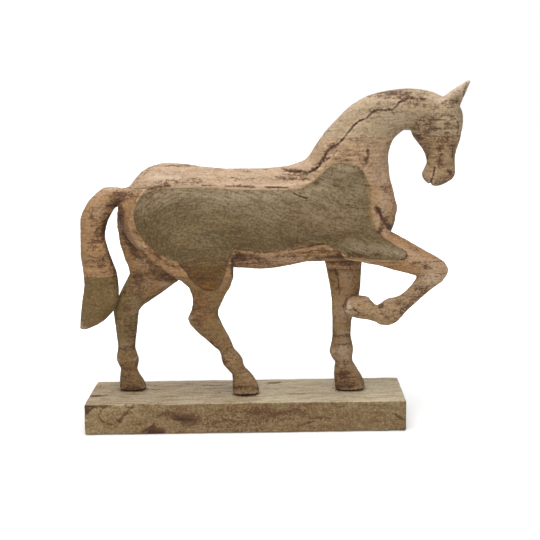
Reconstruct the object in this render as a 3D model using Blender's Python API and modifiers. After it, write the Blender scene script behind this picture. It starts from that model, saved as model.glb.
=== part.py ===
"""A carved wooden horse that steps over a block plinth, as its maker builds it.

The horse is sawn and carved from one glued-up block: a centre layer of boards
laid one over the other, and a side board glued on each flank. It stands on the
plinth on three hooves, each held by a screw from beneath, and lifts its right
foreleg. Lengths are millimetres until a mesh is made. X runs from tail to nose,
Y from the right flank to the left one, and Z up from the plinth's underside.
"""

from math import cos, pi, sin

import bmesh
import bpy
from mathutils import Matrix, Vector

MM = 0.001

# The plinth
PLINTH_LENGTH = 356.0
PLINTH_DEPTH = 95.0
PLINTH_HEIGHT = 35.0
PLINTH_ROUNDING = 1.6

# The glued-up block
CORE_THICKNESS = 44.0
GLUE_LINE = 0.3
HOOF_BOARD = 54.0
SHANK_BOARD = 82.0
TRUNK_BOARD = 99.0
NECK_BOARD = 51.0
SIDE_SEAM_OVER_THIGH = 13.0
THROAT_CUT = 179.0

# The seams over the plinth and the glue planes of the flanks, from those sizes
SEAM_AT_SHANK = HOOF_BOARD
SEAM_AT_THIGH = SEAM_AT_SHANK + SHANK_BOARD
SEAM_AT_BACK = SEAM_AT_THIGH + TRUNK_BOARD
SEAM_AT_CREST = SEAM_AT_BACK + NECK_BOARD
SEAM_IN_FLANK = SEAM_AT_THIGH + SIDE_SEAM_OVER_THIGH
RIGHT = -CORE_THICKNESS / 2
LEFT = CORE_THICKNESS / 2

# The hooves and their screws
SOLE_ROUNDING = 2.0
SOLE_INSET = 1.5
SCREW_BITE = 20.0
SCREW_SHANK = 4.2
SCREW_HEAD = 8.4
SCREW_HEAD_HEIGHT = 3.2
SCREW_HEAD_EDGE = 1.9
SCREW_HEAD_FLAT = 5.6
SCREW_TIP = 5.0
SCREW_CLEARANCE = 0.3
HEAD_CLEARANCE = 0.8
COUNTERBORE_DEPTH = 9.0
DRIVE_WIDTH = 1.3
DRIVE_LENGTH = 5.2
DRIVE_DEPTH = 1.8

TRUNK_SIDES = 28
NECK_SIDES = 24
LIMB_SIDES = 16
EAR_SIDES = 10
ROUND_SIDES = 24
OVERCUT = 1.0
WELD = 0.00001
SHARP_EDGE = 0.7

# Linear colour, roughness and metallic value of each finish
FINISHES = {
    "washed_wood": ((0.46, 0.33, 0.23), 0.72, 0.0),
    "olive_wood": ((0.24, 0.19, 0.11), 0.66, 0.0),
    "amber_wood": ((0.30, 0.16, 0.07), 0.62, 0.0),
    "plinth_wood": ((0.33, 0.26, 0.16), 0.70, 0.0),
    "screw_steel": ((0.55, 0.54, 0.52), 0.38, 1.0),
}


def at(edge_a, edge_b, y, full=(2.0, 2.0), widest=0.5):
    """One station of a limb: a section that spans edge_a to edge_b in side view.

    The edges are (x, height above the plinth). y is the right and the left face.
    full is the roundness towards each edge: 2 is an ellipse, more is squarer.
    widest is where the section is thickest, as a share of the way to edge_b.
    """
    return (*edge_a, *edge_b, *y, *full, widest)


def even(edge_a, edge_b, half, full=(2.0, 2.0), widest=0.5):
    """One station alike on both sides of the middle plane."""
    return at(edge_a, edge_b, (-half, half), full, widest)


def upright(x, low, high, half, full=(1.85, 1.85), widest=0.5):
    """One upright station of the trunk, alike on both flanks."""
    return even((x, low), (x, high), half, full, widest)


TRUNK = [
    upright(-137, 196, 225.6, 9),
    upright(-131, 183, 231, LEFT - 8),
    upright(-122, 170, 238.5, LEFT - 3.5),
    upright(-110, 161, 252.2, LEFT + 1.5, (1.85, 1.75)),
    upright(-95, 155, 259.6, LEFT + 5, (1.85, 1.7)),
    upright(-78, 151, 261.6, LEFT + 7, (1.85, 1.66)),
    upright(-60, 147.5, 259.4, LEFT + 7, (1.85, 1.8)),
    upright(-40, 144, 256.3, LEFT + 6.8),
    upright(-20, 143.4, 254.2, LEFT + 6.8),
    upright(0, 142.2, 253.8, LEFT + 6.8),
    upright(25, 140.8, 253.8, LEFT + 7, (1.85, 1.76)),
    upright(50, 144, 255.3, LEFT + 7, (1.9, 1.65)),
    upright(70, 148, 258, LEFT + 7.5, (1.95, 1.62)),
    upright(90, 148.4, 259, LEFT + 8, (1.76, 1.8)),
    upright(110, 148.4, 257, LEFT + 7.5),
    upright(130, 150, 249, LEFT + 5),
    upright(145, 156, 236.5, LEFT - 0.6),
    upright(156, 166, 227, LEFT - 5.5),
    upright(165, 180, 219, 10.5),
    upright(169.8, 193, 209, 5),
]

NECK = [
    even((40, 250), (148, 168), LEFT - 2),
    even((55, 256), (166, 190), LEFT + 2.3),
    even((65, 259.4), (172.5, 206), LEFT + 3, (2, 2), 0.48),
    even((72, 263.8), (170.2, 217.5), LEFT + 2.6, (2, 2), 0.45),
    even((78, 271), (166.4, 231.5), LEFT + 1.4, (2.1, 2), 0.42),
    even((85, 282.4), (163.6, 244), LEFT - 0.8, (2.1, 2), 0.42),
    even((94, 293.8), (162.3, 256), LEFT - 2.2, (2, 2), 0.45),
    even((104, 304.2), (162.9, 267.5), LEFT - 3.5),
    even((116, 316.2), (165.3, 277.2), LEFT - 4.8),
    even((130, 325.8), (169.3, 284.4), LEFT - 5.8),
    even((146, 332.8), (174.5, 289), LEFT - 6.5),
    even((162, 336), (178.3, 292.6), LEFT - 7),
    even((180, 337.3), (181.3, 292.7), LEFT - 7.2),
    even((198, 336.2), (184.4, 292.3), LEFT - 7.2),
    even((213, 332.2), (189, 293.4), LEFT - 7.4),
    even((226, 325.4), (196, 295), LEFT - 8),
    even((235, 317), (205, 296), 12.5),
]

HEAD = [
    even((203, 322), (231, 326), 11.5),
    even((193.5, 312), (238.5, 319), LEFT - 7.5),
    even((187.2, 301), (242.6, 311), LEFT - 5.4),
    even((186.8, 292.4), (243.6, 300), LEFT - 4.4),
    even((189.6, 284.8), (242.4, 290), LEFT - 4.4),
    even((194.6, 278), (241, 281), LEFT - 6),
    even((199.8, 271), (237.2, 272), 13.8),
    even((203.4, 263), (235.6, 263), 12),
    even((204.2, 256), (235.3, 255), 11.3),
    even((200.8, 249.5), (235.4, 249), 11.6),
    even((199, 244.3), (235.3, 242.6), 12),
    even((201, 238), (231.4, 237.2), 11),
    even((206, 233.2), (223.6, 232.8), 7.5),
    even((211, 230.8), (217.4, 230.6), 3),
]

EAR = [
    at((215, 321), (237.5, 311), (4, LEFT - 8)),
    at((222, 327.4), (239.4, 319), (4, LEFT - 8)),
    at((229.8, 333.6), (242.4, 327), (5, LEFT - 8)),
    at((237.8, 339.4), (245.1, 334.5), (7, LEFT - 8)),
    at((244, 344), (247.4, 341.5), (9.3, 13.6)),
    at((247.9, 347), (248.8, 346.2), (11, 12.6)),
]

TAIL = [
    even((-116, 237), (-116, 213), 9),
    even((-126, 235), (-126, 212.6), 10),
    even((-134, 233.8), (-133, 213.6), 10.5),
    even((-142.4, 236.9), (-138.6, 213.4), 10.5),
    even((-151.6, 235.3), (-141.8, 211), 11),
    even((-161.6, 229), (-145, 206), 11.3),
    even((-170.6, 220.2), (-148, 200.8), 11.6),
    even((-176.6, 210.4), (-150.6, 195.4), 12),
    even((-180.2, 201.2), (-152.4, 189), 12),
    even((-181.2, 187), (-153, 180.6), 12),
    even((-181.8, 173), (-151.8, 172), 12.2),
    even((-181.8, 161), (-149, 161), 12.6),
    even((-180.8, 149), (-144.8, 149), 13),
    even((-179.8, 137), (-141.8, 138), 13.2),
    even((-179.8, 125), (-140.4, 125), 13),
    even((-181.9, 112), (-140.6, 112), 12.4),
    even((-184, 100), (-144.4, 100), 11.4),
    even((-185.4, 89), (-154.2, 88), 9.4),
    even((-186.1, 81), (-166.4, 79.4), 6.4),
    even((-186.6, 75.2), (-180, 74.2), 2.8),
]

RIGHT_HIND = [
    at((-98, 226), (-62, 228), (RIGHT + 2, -8)),
    at((-115, 213), (-38, 219), (RIGHT - 3.2, -5)),
    at((-127.4, 198), (-16, 208), (RIGHT - 6.2, -2)),
    at((-122.3, 180.5), (-8, 192), (RIGHT - 6.3, -1.5), (1.8, 2)),
    at((-110.6, 161), (-6, 176), (RIGHT - 5.5, -1), (1.58, 2)),
    at((-97, 147.4), (-7, 162), (RIGHT - 3.8, -1), (1.5, 2.2), 0.55),
    at((-82.4, 136.8), (-9.4, 148), (RIGHT - 2.8, -1), (1.7, 2.3), 0.56),
    at((-69.4, 130.4), (-10.2, 134), (RIGHT - 1.4, -1.5), (2.3, 2.3)),
    at((-60.6, 123), (-14.4, 123), (RIGHT - 0.3, -2)),
    at((-57.3, 113), (-20.1, 114), (RIGHT + 1, -2.5)),
    at((-57.3, 105), (-24.4, 105), (RIGHT + 1.8, -3)),
    at((-58.8, 97.4), (-27.8, 97.5), (RIGHT + 1.8, -3)),
    at((-63.4, 88), (-28.6, 92), (RIGHT + 1.6, -3)),
    at((-60.9, 81), (-27.7, 89), (RIGHT + 1.6, -3.2)),
    at((-53.6, 72.8), (-23.6, 79.4), (RIGHT + 2, -3.8)),
    at((-43, 63.1), (-19, 70.4), (RIGHT + 2.5, -4.4)),
    at((-35.2, 55.6), (-14.8, 60.9), (RIGHT + 2.7, -4.6)),
    at((-29.4, 50.6), (-11.8, 52.4), (RIGHT + 2.6, -4.4)),
    at((-26.8, 44.6), (-6.2, 46.4), (RIGHT + 2, -3.6)),
    at((-26.4, 39), (-2.6, 40.1), (RIGHT + 1.6, -3)),
    at((-24.3, 33.2), (-1.8, 34.3), (RIGHT + 1.8, -3.4)),
    at((-19.4, 27.6), (0.2, 30.1), (RIGHT + 2, -3.8)),
    at((-15.3, 23.4), (6, 25), (RIGHT + 1.6, -3.2)),
    at((-14.3, 18), (10.6, 18.3), (RIGHT + 1, -2.4)),
    at((-14.7, 10.5), (14.1, 10.5), (RIGHT + 0.6, -1.8)),
    at((-14.6, 4.5), (15.2, 4.5), (RIGHT + 0.5, -1.6), (2.4, 2.2)),
]

LEFT_HIND = [
    at((-128, 234), (-66, 238), (8, LEFT)),
    at((-137.6, 221), (-48, 228), (4, LEFT + 4)),
    at((-141.8, 204.5), (-40, 215), (2, LEFT + 6.2)),
    at((-142.6, 188), (-36, 198), (1.5, LEFT + 6.6)),
    at((-139.6, 168.6), (-40, 175), (1, LEFT + 6), (1.8, 2)),
    at((-135.6, 154), (-52, 155), (1, LEFT + 4.6), (1.8, 2)),
    at((-130.6, 141.6), (-62, 138), (1, LEFT + 3), (2, 2.2)),
    at((-130, 135.2), (-73.4, 127), (1.5, LEFT + 1.6)),
    at((-135, 126), (-87.4, 117), (2.2, LEFT + 0.4)),
    at((-140.4, 115.2), (-103.4, 106.4), (2.8, LEFT - 0.6)),
    at((-146, 104), (-115.2, 99.2), (3, LEFT - 1)),
    at((-150, 94), (-120, 93), (3, LEFT - 1)),
    at((-149.2, 82.3), (-121.6, 82.3), (3.4, LEFT - 1.4)),
    at((-147.8, 69), (-123.4, 69), (4, LEFT - 2)),
    at((-146.6, 57), (-125.6, 57), (4.4, LEFT - 2.2)),
    at((-146.2, 50), (-126.2, 50), (4.4, LEFT - 2.2)),
    at((-147.2, 43.9), (-124.3, 43), (3.6, LEFT - 1.6)),
    at((-148.4, 36), (-122.5, 36), (3, LEFT - 1.2)),
    at((-146.4, 29.6), (-123.6, 30), (3.4, LEFT - 1.4)),
    at((-144, 25), (-125, 25), (3.6, LEFT - 1.6)),
    at((-144.6, 18.7), (-122.5, 18.7), (3, LEFT - 1)),
    at((-145.6, 11.6), (-118.4, 11.6), (2.4, LEFT - 0.6)),
    at((-146.3, 5), (-115.8, 5), (2.2, LEFT - 0.5), (2.4, 2.2)),
]

LEFT_FORE = [
    at((84, 200), (142, 206), (4, LEFT)),
    at((84, 170), (140, 173), (2, LEFT + 4.6)),
    at((90.8, 149), (134.8, 151), (2, LEFT - 0.1)),
    at((94, 134), (133.2, 134), (1.5, LEFT - 0.6)),
    at((97.2, 116), (131.8, 116), (0, LEFT - 2.4)),
    at((98.6, 103.8), (129.4, 104), (-2, LEFT - 4.5)),
    at((99, 92), (124, 92), (-4, LEFT - 7)),
    at((99.1, 77), (120.8, 77), (-5, 13)),
    at((99.1, 63), (120, 63), (-6, 12)),
    at((98, 54.5), (121.8, 54.5), (-7, 11.5)),
    at((95.2, 44.8), (123.2, 47), (-8, 11.5)),
    at((97.8, 38), (121.8, 38), (-7.5, 11)),
    at((101.8, 32), (122, 32.5), (-7, 10.5)),
    at((101, 25), (126.5, 25), (-8, 11)),
    at((100.4, 16), (131.8, 16), (-9, 11.5)),
    at((100.8, 9), (134.8, 9), (-9.4, 11.6)),
    at((101.4, 4.5), (135.5, 4.5), (-9.4, 11.6), (2.4, 2.2)),
]

RIGHT_FORE = [
    at((126, 203), (98, 170), (RIGHT - 3, -4)),
    at((146, 191), (112, 152.4), (RIGHT - 5.6, -2), (1.7, 2), 0.52),
    at((163, 184), (130, 149), (RIGHT - 4.6, -2), (1.5, 2.05), 0.556),
    at((177.4, 175.6), (150, 144.4), (RIGHT - 1.8, -2.5), (1.7, 2.1), 0.556),
    at((190.2, 168), (170, 138.7), (RIGHT - 0.2, -3)),
    at((203.2, 160.4), (184, 134.5), (RIGHT + 0.8, -3.5)),
    at((214.4, 154.2), (191, 132.6), (RIGHT + 1.2, -3.6)),
    at((223.8, 148.1), (192.8, 132), (RIGHT + 1.4, -3.6)),
    at((228, 139.8), (192.7, 131), (RIGHT + 1.6, -3.8)),
    at((226.7, 133.2), (192, 129.6), (RIGHT + 1.8, -4.2)),
    at((221.6, 126.2), (190, 126.6), (RIGHT + 2, -4.8)),
    at((212.6, 119.8), (186.4, 122.2), (RIGHT + 2.2, -5.4)),
    at((202.8, 111.7), (180.8, 116), (RIGHT + 2.4, -5.8)),
    at((191.8, 102.2), (173.8, 110.7), (RIGHT + 2.4, -6)),
    at((182.8, 93.6), (167.5, 108.6), (RIGHT + 2, -5.8)),
    at((175.8, 86), (162, 108.2), (RIGHT + 1.4, -5)),
    at((169, 79), (157.5, 106.3), (RIGHT + 1, -4.6)),
    at((160.6, 76.4), (154.3, 103.7), (RIGHT + 1, -4.6)),
    at((152, 77.5), (151, 101), (RIGHT + 1.6, -5.2)),
    at((145.4, 81.4), (147.3, 100.2), (RIGHT + 2.2, -5.6)),
    at((139.4, 83.3), (143.4, 104), (RIGHT + 2, -4.6)),
    at((132.6, 84.2), (138.5, 109.7), (RIGHT + 1.4, -3)),
    at((125, 85.4), (131.6, 111.2), (RIGHT + 1, -1)),
    at((118, 87), (124, 110.5), (RIGHT + 1, 0)),
    at((112, 91), (116, 107), (RIGHT + 1.6, -0.6)),
]


STANDING_LEGS = {"right_hind": RIGHT_HIND, "left_hind": LEFT_HIND, "left_fore": LEFT_FORE}

# Each board's finish, a point on it or close by, and the seams that bound it
CENTRE_BOARDS = {
    "crest_board": ("washed_wood", (150, 0, 335), {"low": SEAM_AT_CREST}),
    "muzzle_block": ("washed_wood", (235, 0, 250),
                     {"high": SEAM_AT_CREST, "rear": THROAT_CUT}),
    "neck_board": ("washed_wood", (0, 0, 254),
                   {"low": SEAM_AT_BACK, "high": SEAM_AT_CREST, "front": THROAT_CUT}),
    "trunk_board": ("washed_wood", (25, 0, 141), {"low": SEAM_AT_THIGH, "high": SEAM_AT_BACK}),
    "tail_board": ("olive_wood", (-186, 0, 75), {"high": SEAM_AT_THIGH}),
    "right_hock_board": ("olive_wood", (-63, -12, 88),
                        {"low": SEAM_AT_SHANK, "high": SEAM_AT_THIGH, "left": 0}),
    "left_hock_board": ("olive_wood", (-150, 12, 94),
                       {"low": SEAM_AT_SHANK, "high": SEAM_AT_THIGH, "right": 0}),
    "left_shin_board": ("olive_wood", (99, 4, 77),
                       {"low": SEAM_AT_SHANK, "high": SEAM_AT_THIGH}),
    "right_hind_hoof": ("washed_wood", (0, -11, 0), {"high": SEAM_AT_SHANK, "left": 0}),
    "left_hind_hoof": ("washed_wood", (-131, 12, 0), {"high": SEAM_AT_SHANK, "right": 0}),
    "left_fore_hoof": ("washed_wood", (118, 1, 0), {"high": SEAM_AT_SHANK}),
}

SIDE_BOARDS = {
    "right_side_board": ("olive_wood", (0, -29, 198), {"low": SEAM_IN_FLANK, "left": RIGHT}),
    "left_side_board": ("olive_wood", (0, 29, 198), {"low": SEAM_IN_FLANK, "right": LEFT}),
    "right_thigh_board": ("amber_wood", (-40, -24, 140), {"high": SEAM_IN_FLANK, "left": RIGHT}),
    "left_thigh_board": ("amber_wood", (-100, 26, 142), {"high": SEAM_IN_FLANK, "right": LEFT}),
}


def top_of_plinth():
    return PLINTH_HEIGHT + GLUE_LINE


def screw_seat():
    """The height of the underside of a fitted screw's head."""
    return COUNTERBORE_DEPTH - SCREW_CLEARANCE


def screw_point():
    """The height that the point of a fitted screw reaches."""
    return top_of_plinth() + SCREW_BITE


def grown(stations, margin):
    """The same limb, larger all round by a margin."""
    larger = []
    for ax, az, bx, bz, right, left, full_a, full_b, widest in stations:
        reach = Vector((bx - ax, bz - az)).normalized() * margin
        larger.append((ax - reach.x, az - reach.y, bx + reach.x, bz + reach.y,
                       right - margin, left + margin, full_a, full_b, widest))
    return larger


def mirrored(stations):
    """The same limb on the other side of the middle plane."""
    return [(*station[:4], -station[5], -station[4], *station[6:]) for station in stations]


def smooth_between(stations, steps):
    """Stations with more of them between, on curves through the given ones."""
    last = len(stations) - 1
    rings = []
    for i in range(last):
        before = stations[max(i - 1, 0)]
        start = stations[i]
        end = stations[i + 1]
        after = stations[min(i + 2, last)]
        for step in range(steps):
            t = step / steps
            rings.append(tuple(
                0.5 * (2 * p1 + (p2 - p0) * t
                       + (2 * p0 - 5 * p1 + 4 * p2 - p3) * t ** 2
                       + (3 * p1 - p0 - 3 * p2 + p3) * t ** 3)
                for p0, p1, p2, p3 in zip(before, start, end, after)))
    rings.append(stations[last])
    return rings


def section(station, sides):
    """The points of one section, an oval that is fuller or leaner to each edge."""
    ax, az, bx, bz, right, left, full_a, full_b, widest = station
    middle = (right + left) / 2
    half = (left - right) / 2
    points = []
    for k in range(sides):
        c = cos(2 * pi * k / sides)
        s = sin(2 * pi * k / sides)
        power = 2 / (full_a if c >= 0 else full_b)
        along = abs(c) ** power
        across = abs(s) ** power * (1 if s >= 0 else -1)
        share = widest * (1 - along) if c >= 0 else widest + (1 - widest) * along
        points.append(Vector((ax + (bx - ax) * share,
                              middle + half * across,
                              az + (bz - az) * share)) * MM)
    return points


def new_object(name, mesh, collection):
    piece = bpy.data.objects.new(name, mesh)
    collection.objects.link(piece)
    return piece


def new_primitive(name, collection):
    """Name the primitive that was just added and move it to its collection."""
    piece = bpy.context.object
    piece.name = name
    for owner in list(piece.users_collection):
        owner.objects.unlink(piece)
    collection.objects.link(piece)
    return piece


def loft(name, stations, sides, steps, collection):
    """A closed solid through the sections of a limb."""
    bm = bmesh.new()
    rings = [[bm.verts.new(point) for point in section(station, sides)]
             for station in smooth_between(stations, steps)]
    for first, second in zip(rings, rings[1:]):
        for k in range(sides):
            following = (k + 1) % sides
            bm.faces.new((first[k], first[following], second[following], second[k]))
    bm.faces.new(rings[0])
    bm.faces.new(rings[-1])
    bmesh.ops.recalc_face_normals(bm, faces=bm.faces)
    mesh = bpy.data.meshes.new(name)
    bm.to_mesh(mesh)
    bm.free()
    return new_object(name, mesh, collection)


def with_sole(stations):
    """A leg whose hoof ends in a flat sole with a rounded rim."""
    ax, az, bx, bz, right, left, full_a, full_b, widest = stations[-1]
    rim = (ax, SOLE_ROUNDING, bx, SOLE_ROUNDING, right, left, full_a, full_b, widest)
    sole = (ax + SOLE_INSET, 0.0, bx - SOLE_INSET, 0.0,
            right + SOLE_INSET, left - SOLE_INSET, full_a, full_b, widest)
    return stations + [rim, sole]


def sole_centre(stations):
    ax, _, bx, _, right, left = stations[-1][:6]
    return (ax + bx) / 2, (right + left) / 2


def combine(piece, others, operation):
    """Apply a Boolean of several solids to one, and take the solids away."""
    for other in others:
        step = piece.modifiers.new(other.name, "BOOLEAN")
        step.object = other
        step.operation = operation
        step.solver = "EXACT"
    depsgraph = bpy.context.evaluated_depsgraph_get()
    mesh = bpy.data.meshes.new_from_object(piece.evaluated_get(depsgraph))
    piece.modifiers.clear()
    piece.data = mesh
    for other in others:
        bpy.data.objects.remove(other)


def cut_live(piece, cutter):
    """Take a hidden solid out of a piece with a Boolean that stays on it."""
    cutter.hide_render = True
    cutter.display_type = "WIRE"
    cut = piece.modifiers.new(cutter.name, "BOOLEAN")
    cut.object = cutter
    cut.operation = "DIFFERENCE"
    cut.solver = "EXACT"


def drill(piece, name, x, y, low, high, diameter, cutters):
    """Take an upright round hole out of a piece."""
    bpy.ops.mesh.primitive_cylinder_add(
        vertices=ROUND_SIDES, radius=diameter / 2 * MM, depth=(high - low) * MM,
        location=(x * MM, y * MM, (low + high) / 2 * MM))
    cut_live(piece, new_primitive(name, cutters))


def box(name, size, place, collection):
    """A box of a size, centred on a place."""
    bpy.ops.mesh.primitive_cube_add(size=1, location=Vector(place) * MM)
    piece = new_primitive(name, collection)
    piece.data.transform(Matrix.Diagonal((*(Vector(size) * MM), 1)))
    return piece


def saw(bm, side, place):
    """Cut a closed solid square across on one side, and close the cut."""
    outward = Vector({"rear": (-1, 0, 0), "front": (1, 0, 0), "right": (0, -1, 0),
                      "left": (0, 1, 0), "low": (0, 0, -1), "high": (0, 0, 1)}[side])
    level = place * sum(outward) - GLUE_LINE / 2
    whole = bm.verts[:] + bm.edges[:] + bm.faces[:]
    bmesh.ops.bisect_plane(bm, geom=whole, dist=WELD * MM, plane_co=outward * level * MM,
                           plane_no=outward, clear_outer=True)
    rim = [edge for edge in bm.edges if edge.is_boundary]
    closed = bmesh.ops.holes_fill(bm, edges=rim, sides=0)
    bmesh.ops.triangulate(bm, faces=closed["faces"])


def keep_body_at(bm, seed):
    """Keep the one separate body whose surface comes nearest to a point."""
    target = Vector(seed) * MM
    nearest = min(bm.verts, key=lambda vert: (vert.co - target).length_squared)
    body = {nearest}
    unfollowed = [nearest]
    while unfollowed:
        vert = unfollowed.pop()
        for edge in vert.link_edges:
            other = edge.other_vert(vert)
            if other not in body:
                body.add(other)
                unfollowed.append(other)
    bmesh.ops.delete(bm, geom=[vert for vert in bm.verts if vert not in body], context="VERTS")


def sawn(block, seams, seed=None):
    """A mesh cut out of a carved block at the given seams."""
    bm = bmesh.new()
    bm.from_mesh(block)
    for side, place in seams.items():
        saw(bm, side, place)
    if seed:
        keep_body_at(bm, seed)
    mesh = bpy.data.meshes.new("sawn")
    bm.to_mesh(mesh)
    bm.free()
    return mesh


def material(name, finish):
    colour, roughness, metallic = FINISHES[finish]
    made = bpy.data.materials.new(f"{name}_{finish}")
    made.use_nodes = True
    made.diffuse_color = (*colour, 1.0)
    shader = made.node_tree.nodes["Principled BSDF"]
    shader.inputs["Base Color"].default_value = (*colour, 1.0)
    shader.inputs["Roughness"].default_value = roughness
    shader.inputs["Metallic"].default_value = metallic
    return made


def dress(piece, finish):
    """Shade a piece smooth but for its edges, and give it its finish."""
    piece.data.shade_smooth()
    piece.data.set_sharp_from_angle(angle=SHARP_EDGE)
    piece.data.materials.clear()
    piece.data.materials.append(material(piece.name, finish))


def carve_block(guides):
    """The carved horse as one solid, but for the shank of its lifted foreleg."""
    trunk = loft("trunk", TRUNK, TRUNK_SIDES, 2, guides)
    forearm = loft("forearm", RIGHT_FORE, LIMB_SIDES, 1, guides)
    forearm.data = sawn(forearm.data, {"low": SEAM_AT_THIGH - GLUE_LINE})
    limbs = [
        loft("neck", NECK, NECK_SIDES, 2, guides),
        loft("head", HEAD, NECK_SIDES, 2, guides),
        loft("left_ear", EAR, EAR_SIDES, 2, guides),
        loft("right_ear", mirrored(EAR), EAR_SIDES, 2, guides),
        loft("tail", TAIL, LIMB_SIDES, 2, guides),
        *[loft(leg, with_sole(stations), LIMB_SIDES, 1, guides)
          for leg, stations in STANDING_LEGS.items()],
        forearm,
    ]
    combine(trunk, limbs, "UNION")
    return trunk


def make_boards(block, horse, parts):
    """Saw the carved block into the boards that it is glued up from."""
    core = {"right": RIGHT, "left": LEFT}
    for name, (finish, seed, seams) in (CENTRE_BOARDS | SIDE_BOARDS).items():
        bounds = core | seams if name in CENTRE_BOARDS else seams
        board = new_object(name, sawn(block, bounds, seed), parts)
        board.parent = horse
        dress(board, finish)


def make_raised_shank(horse, parts, guides):
    """The bent shank and hoof of the lifted leg, glued to knee and standing leg."""
    shank = loft("right_fore_shank", RIGHT_FORE, LIMB_SIDES, 1, parts)
    shank.data = sawn(shank.data, {"high": SEAM_AT_THIGH})
    beside = loft("leg_beside", grown(with_sole(LEFT_FORE), GLUE_LINE), LIMB_SIDES, 1, guides)
    combine(shank, [beside], "DIFFERENCE")
    shank.parent = horse
    dress(shank, "washed_wood")


def make_plinth(parts, cutters):
    """The block that the horse stands on, bored from beneath for its screws."""
    size = (PLINTH_LENGTH, PLINTH_DEPTH, PLINTH_HEIGHT)
    plinth = box("plinth", size, (0, 0, PLINTH_HEIGHT / 2), parts)
    rounding = plinth.modifiers.new("worn_edges", "BEVEL")
    rounding.width = PLINTH_ROUNDING * MM
    rounding.segments = 2
    way = SCREW_SHANK + 2 * SCREW_CLEARANCE
    counterbore = SCREW_HEAD + 2 * HEAD_CLEARANCE
    for leg, stations in STANDING_LEGS.items():
        x, y = sole_centre(stations)
        drill(plinth, f"{leg}_way", x, y, -OVERCUT, PLINTH_HEIGHT + OVERCUT, way, cutters)
        drill(plinth, f"{leg}_counterbore", x, y, -OVERCUT, COUNTERBORE_DEPTH, counterbore,
              cutters)
    dress(plinth, "plinth_wood")


def turned_screw(name, parts):
    """A pan-head screw that points up, from its head in the counterbore."""
    seat = screw_seat()
    foot = seat - SCREW_HEAD_HEIGHT
    profile = [(0, screw_point()), (SCREW_SHANK / 2, screw_point() - SCREW_TIP),
               (SCREW_SHANK / 2, seat), (SCREW_HEAD / 2, seat),
               (SCREW_HEAD / 2, seat - SCREW_HEAD_EDGE), (SCREW_HEAD_FLAT / 2, foot), (0, foot)]
    mesh = bpy.data.meshes.new(name)
    mesh.from_pydata([Vector((radius, 0, height)) * MM for radius, height in profile],
                     [(k, k + 1) for k in range(len(profile) - 1)], [])
    screw = new_object(name, mesh, parts)
    turn = screw.modifiers.new("turned", "SCREW")
    turn.steps = ROUND_SIDES
    turn.render_steps = ROUND_SIDES
    turn.use_merge_vertices = True
    turn.merge_threshold = WELD
    return screw


def make_screws(parts, cutters):
    """A screw up through the plinth into each hoof that stands on it."""
    pilot = SCREW_SHANK + 2 * SCREW_CLEARANCE
    for leg, stations in STANDING_LEGS.items():
        x, y = sole_centre(stations)
        screw = turned_screw(f"{leg}_screw", parts)
        screw.location = Vector((x, y, 0)) * MM
        place = (x, y, screw_seat() - SCREW_HEAD_HEIGHT)
        for way, size in (("long", (DRIVE_LENGTH, DRIVE_WIDTH, 2 * DRIVE_DEPTH)),
                          ("cross", (DRIVE_WIDTH, DRIVE_LENGTH, 2 * DRIVE_DEPTH))):
            cut_live(screw, box(f"{leg}_drive_{way}", size, place, cutters))
        dress(screw, "screw_steel")
        drill(bpy.data.objects[f"{leg}_hoof"], f"{leg}_pilot", x, y, PLINTH_HEIGHT - OVERCUT,
              screw_point() + SCREW_CLEARANCE, pilot, cutters)


def main():
    for old in list(bpy.data.objects):
        bpy.data.objects.remove(old)
    parts = bpy.data.collections.new("wooden_horse")
    cutters = bpy.data.collections.new("cutters")
    for collection in (parts, cutters):
        bpy.context.scene.collection.children.link(collection)
    horse = new_object("carved_horse", None, parts)
    horse.location.z = top_of_plinth() * MM
    block = carve_block(cutters)
    make_boards(block.data, horse, parts)
    bpy.data.objects.remove(block)
    make_raised_shank(horse, parts, cutters)
    make_plinth(parts, cutters)
    make_screws(parts, cutters)


if __name__ == "__main__":
    main()
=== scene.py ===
"""The looks of a carved wooden horse that steps over a block plinth.

The frame's boards are glued up again into the block that they were carved from.
The block is smoothed and carved, and then sawn at the frame's own seams, so that
each new piece fills the place of the board that it stands for. Drawn lengths are
millimetres. A place in the side drawing is (x, z) on the horse's middle plane,
as the camera sees it there, and both flanks share the drawing.
"""
from math import cos, pi, sin

import bmesh
import bpy
import numpy as np
from bpy.props import FloatProperty, FloatVectorProperty, PointerProperty
from mathutils import Matrix, Vector


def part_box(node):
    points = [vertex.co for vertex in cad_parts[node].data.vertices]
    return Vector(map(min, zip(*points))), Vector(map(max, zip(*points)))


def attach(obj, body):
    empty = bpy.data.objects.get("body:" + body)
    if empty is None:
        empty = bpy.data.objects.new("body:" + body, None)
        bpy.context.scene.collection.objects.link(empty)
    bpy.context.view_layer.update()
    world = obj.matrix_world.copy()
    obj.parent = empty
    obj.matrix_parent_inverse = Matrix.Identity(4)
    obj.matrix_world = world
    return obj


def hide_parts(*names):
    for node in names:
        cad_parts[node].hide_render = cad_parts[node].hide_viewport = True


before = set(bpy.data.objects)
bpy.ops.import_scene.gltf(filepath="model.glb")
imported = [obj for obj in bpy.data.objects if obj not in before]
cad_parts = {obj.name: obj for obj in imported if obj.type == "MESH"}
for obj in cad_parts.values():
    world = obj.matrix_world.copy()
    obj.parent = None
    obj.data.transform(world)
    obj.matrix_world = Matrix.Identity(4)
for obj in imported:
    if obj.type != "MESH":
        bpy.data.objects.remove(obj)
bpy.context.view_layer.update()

bl_info = {
    "name": "Carved horse on a plinth",
    "version": (1, 0, 0),
    "blender": (4, 5, 0),
    "location": "3D View > Sidebar > Carved horse",
    "description": "Carves, saws and finishes a wooden horse around its sawn boards",
    "category": "Add Mesh",
}

X, Y, Z = range(3)
MM = 0.001
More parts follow.
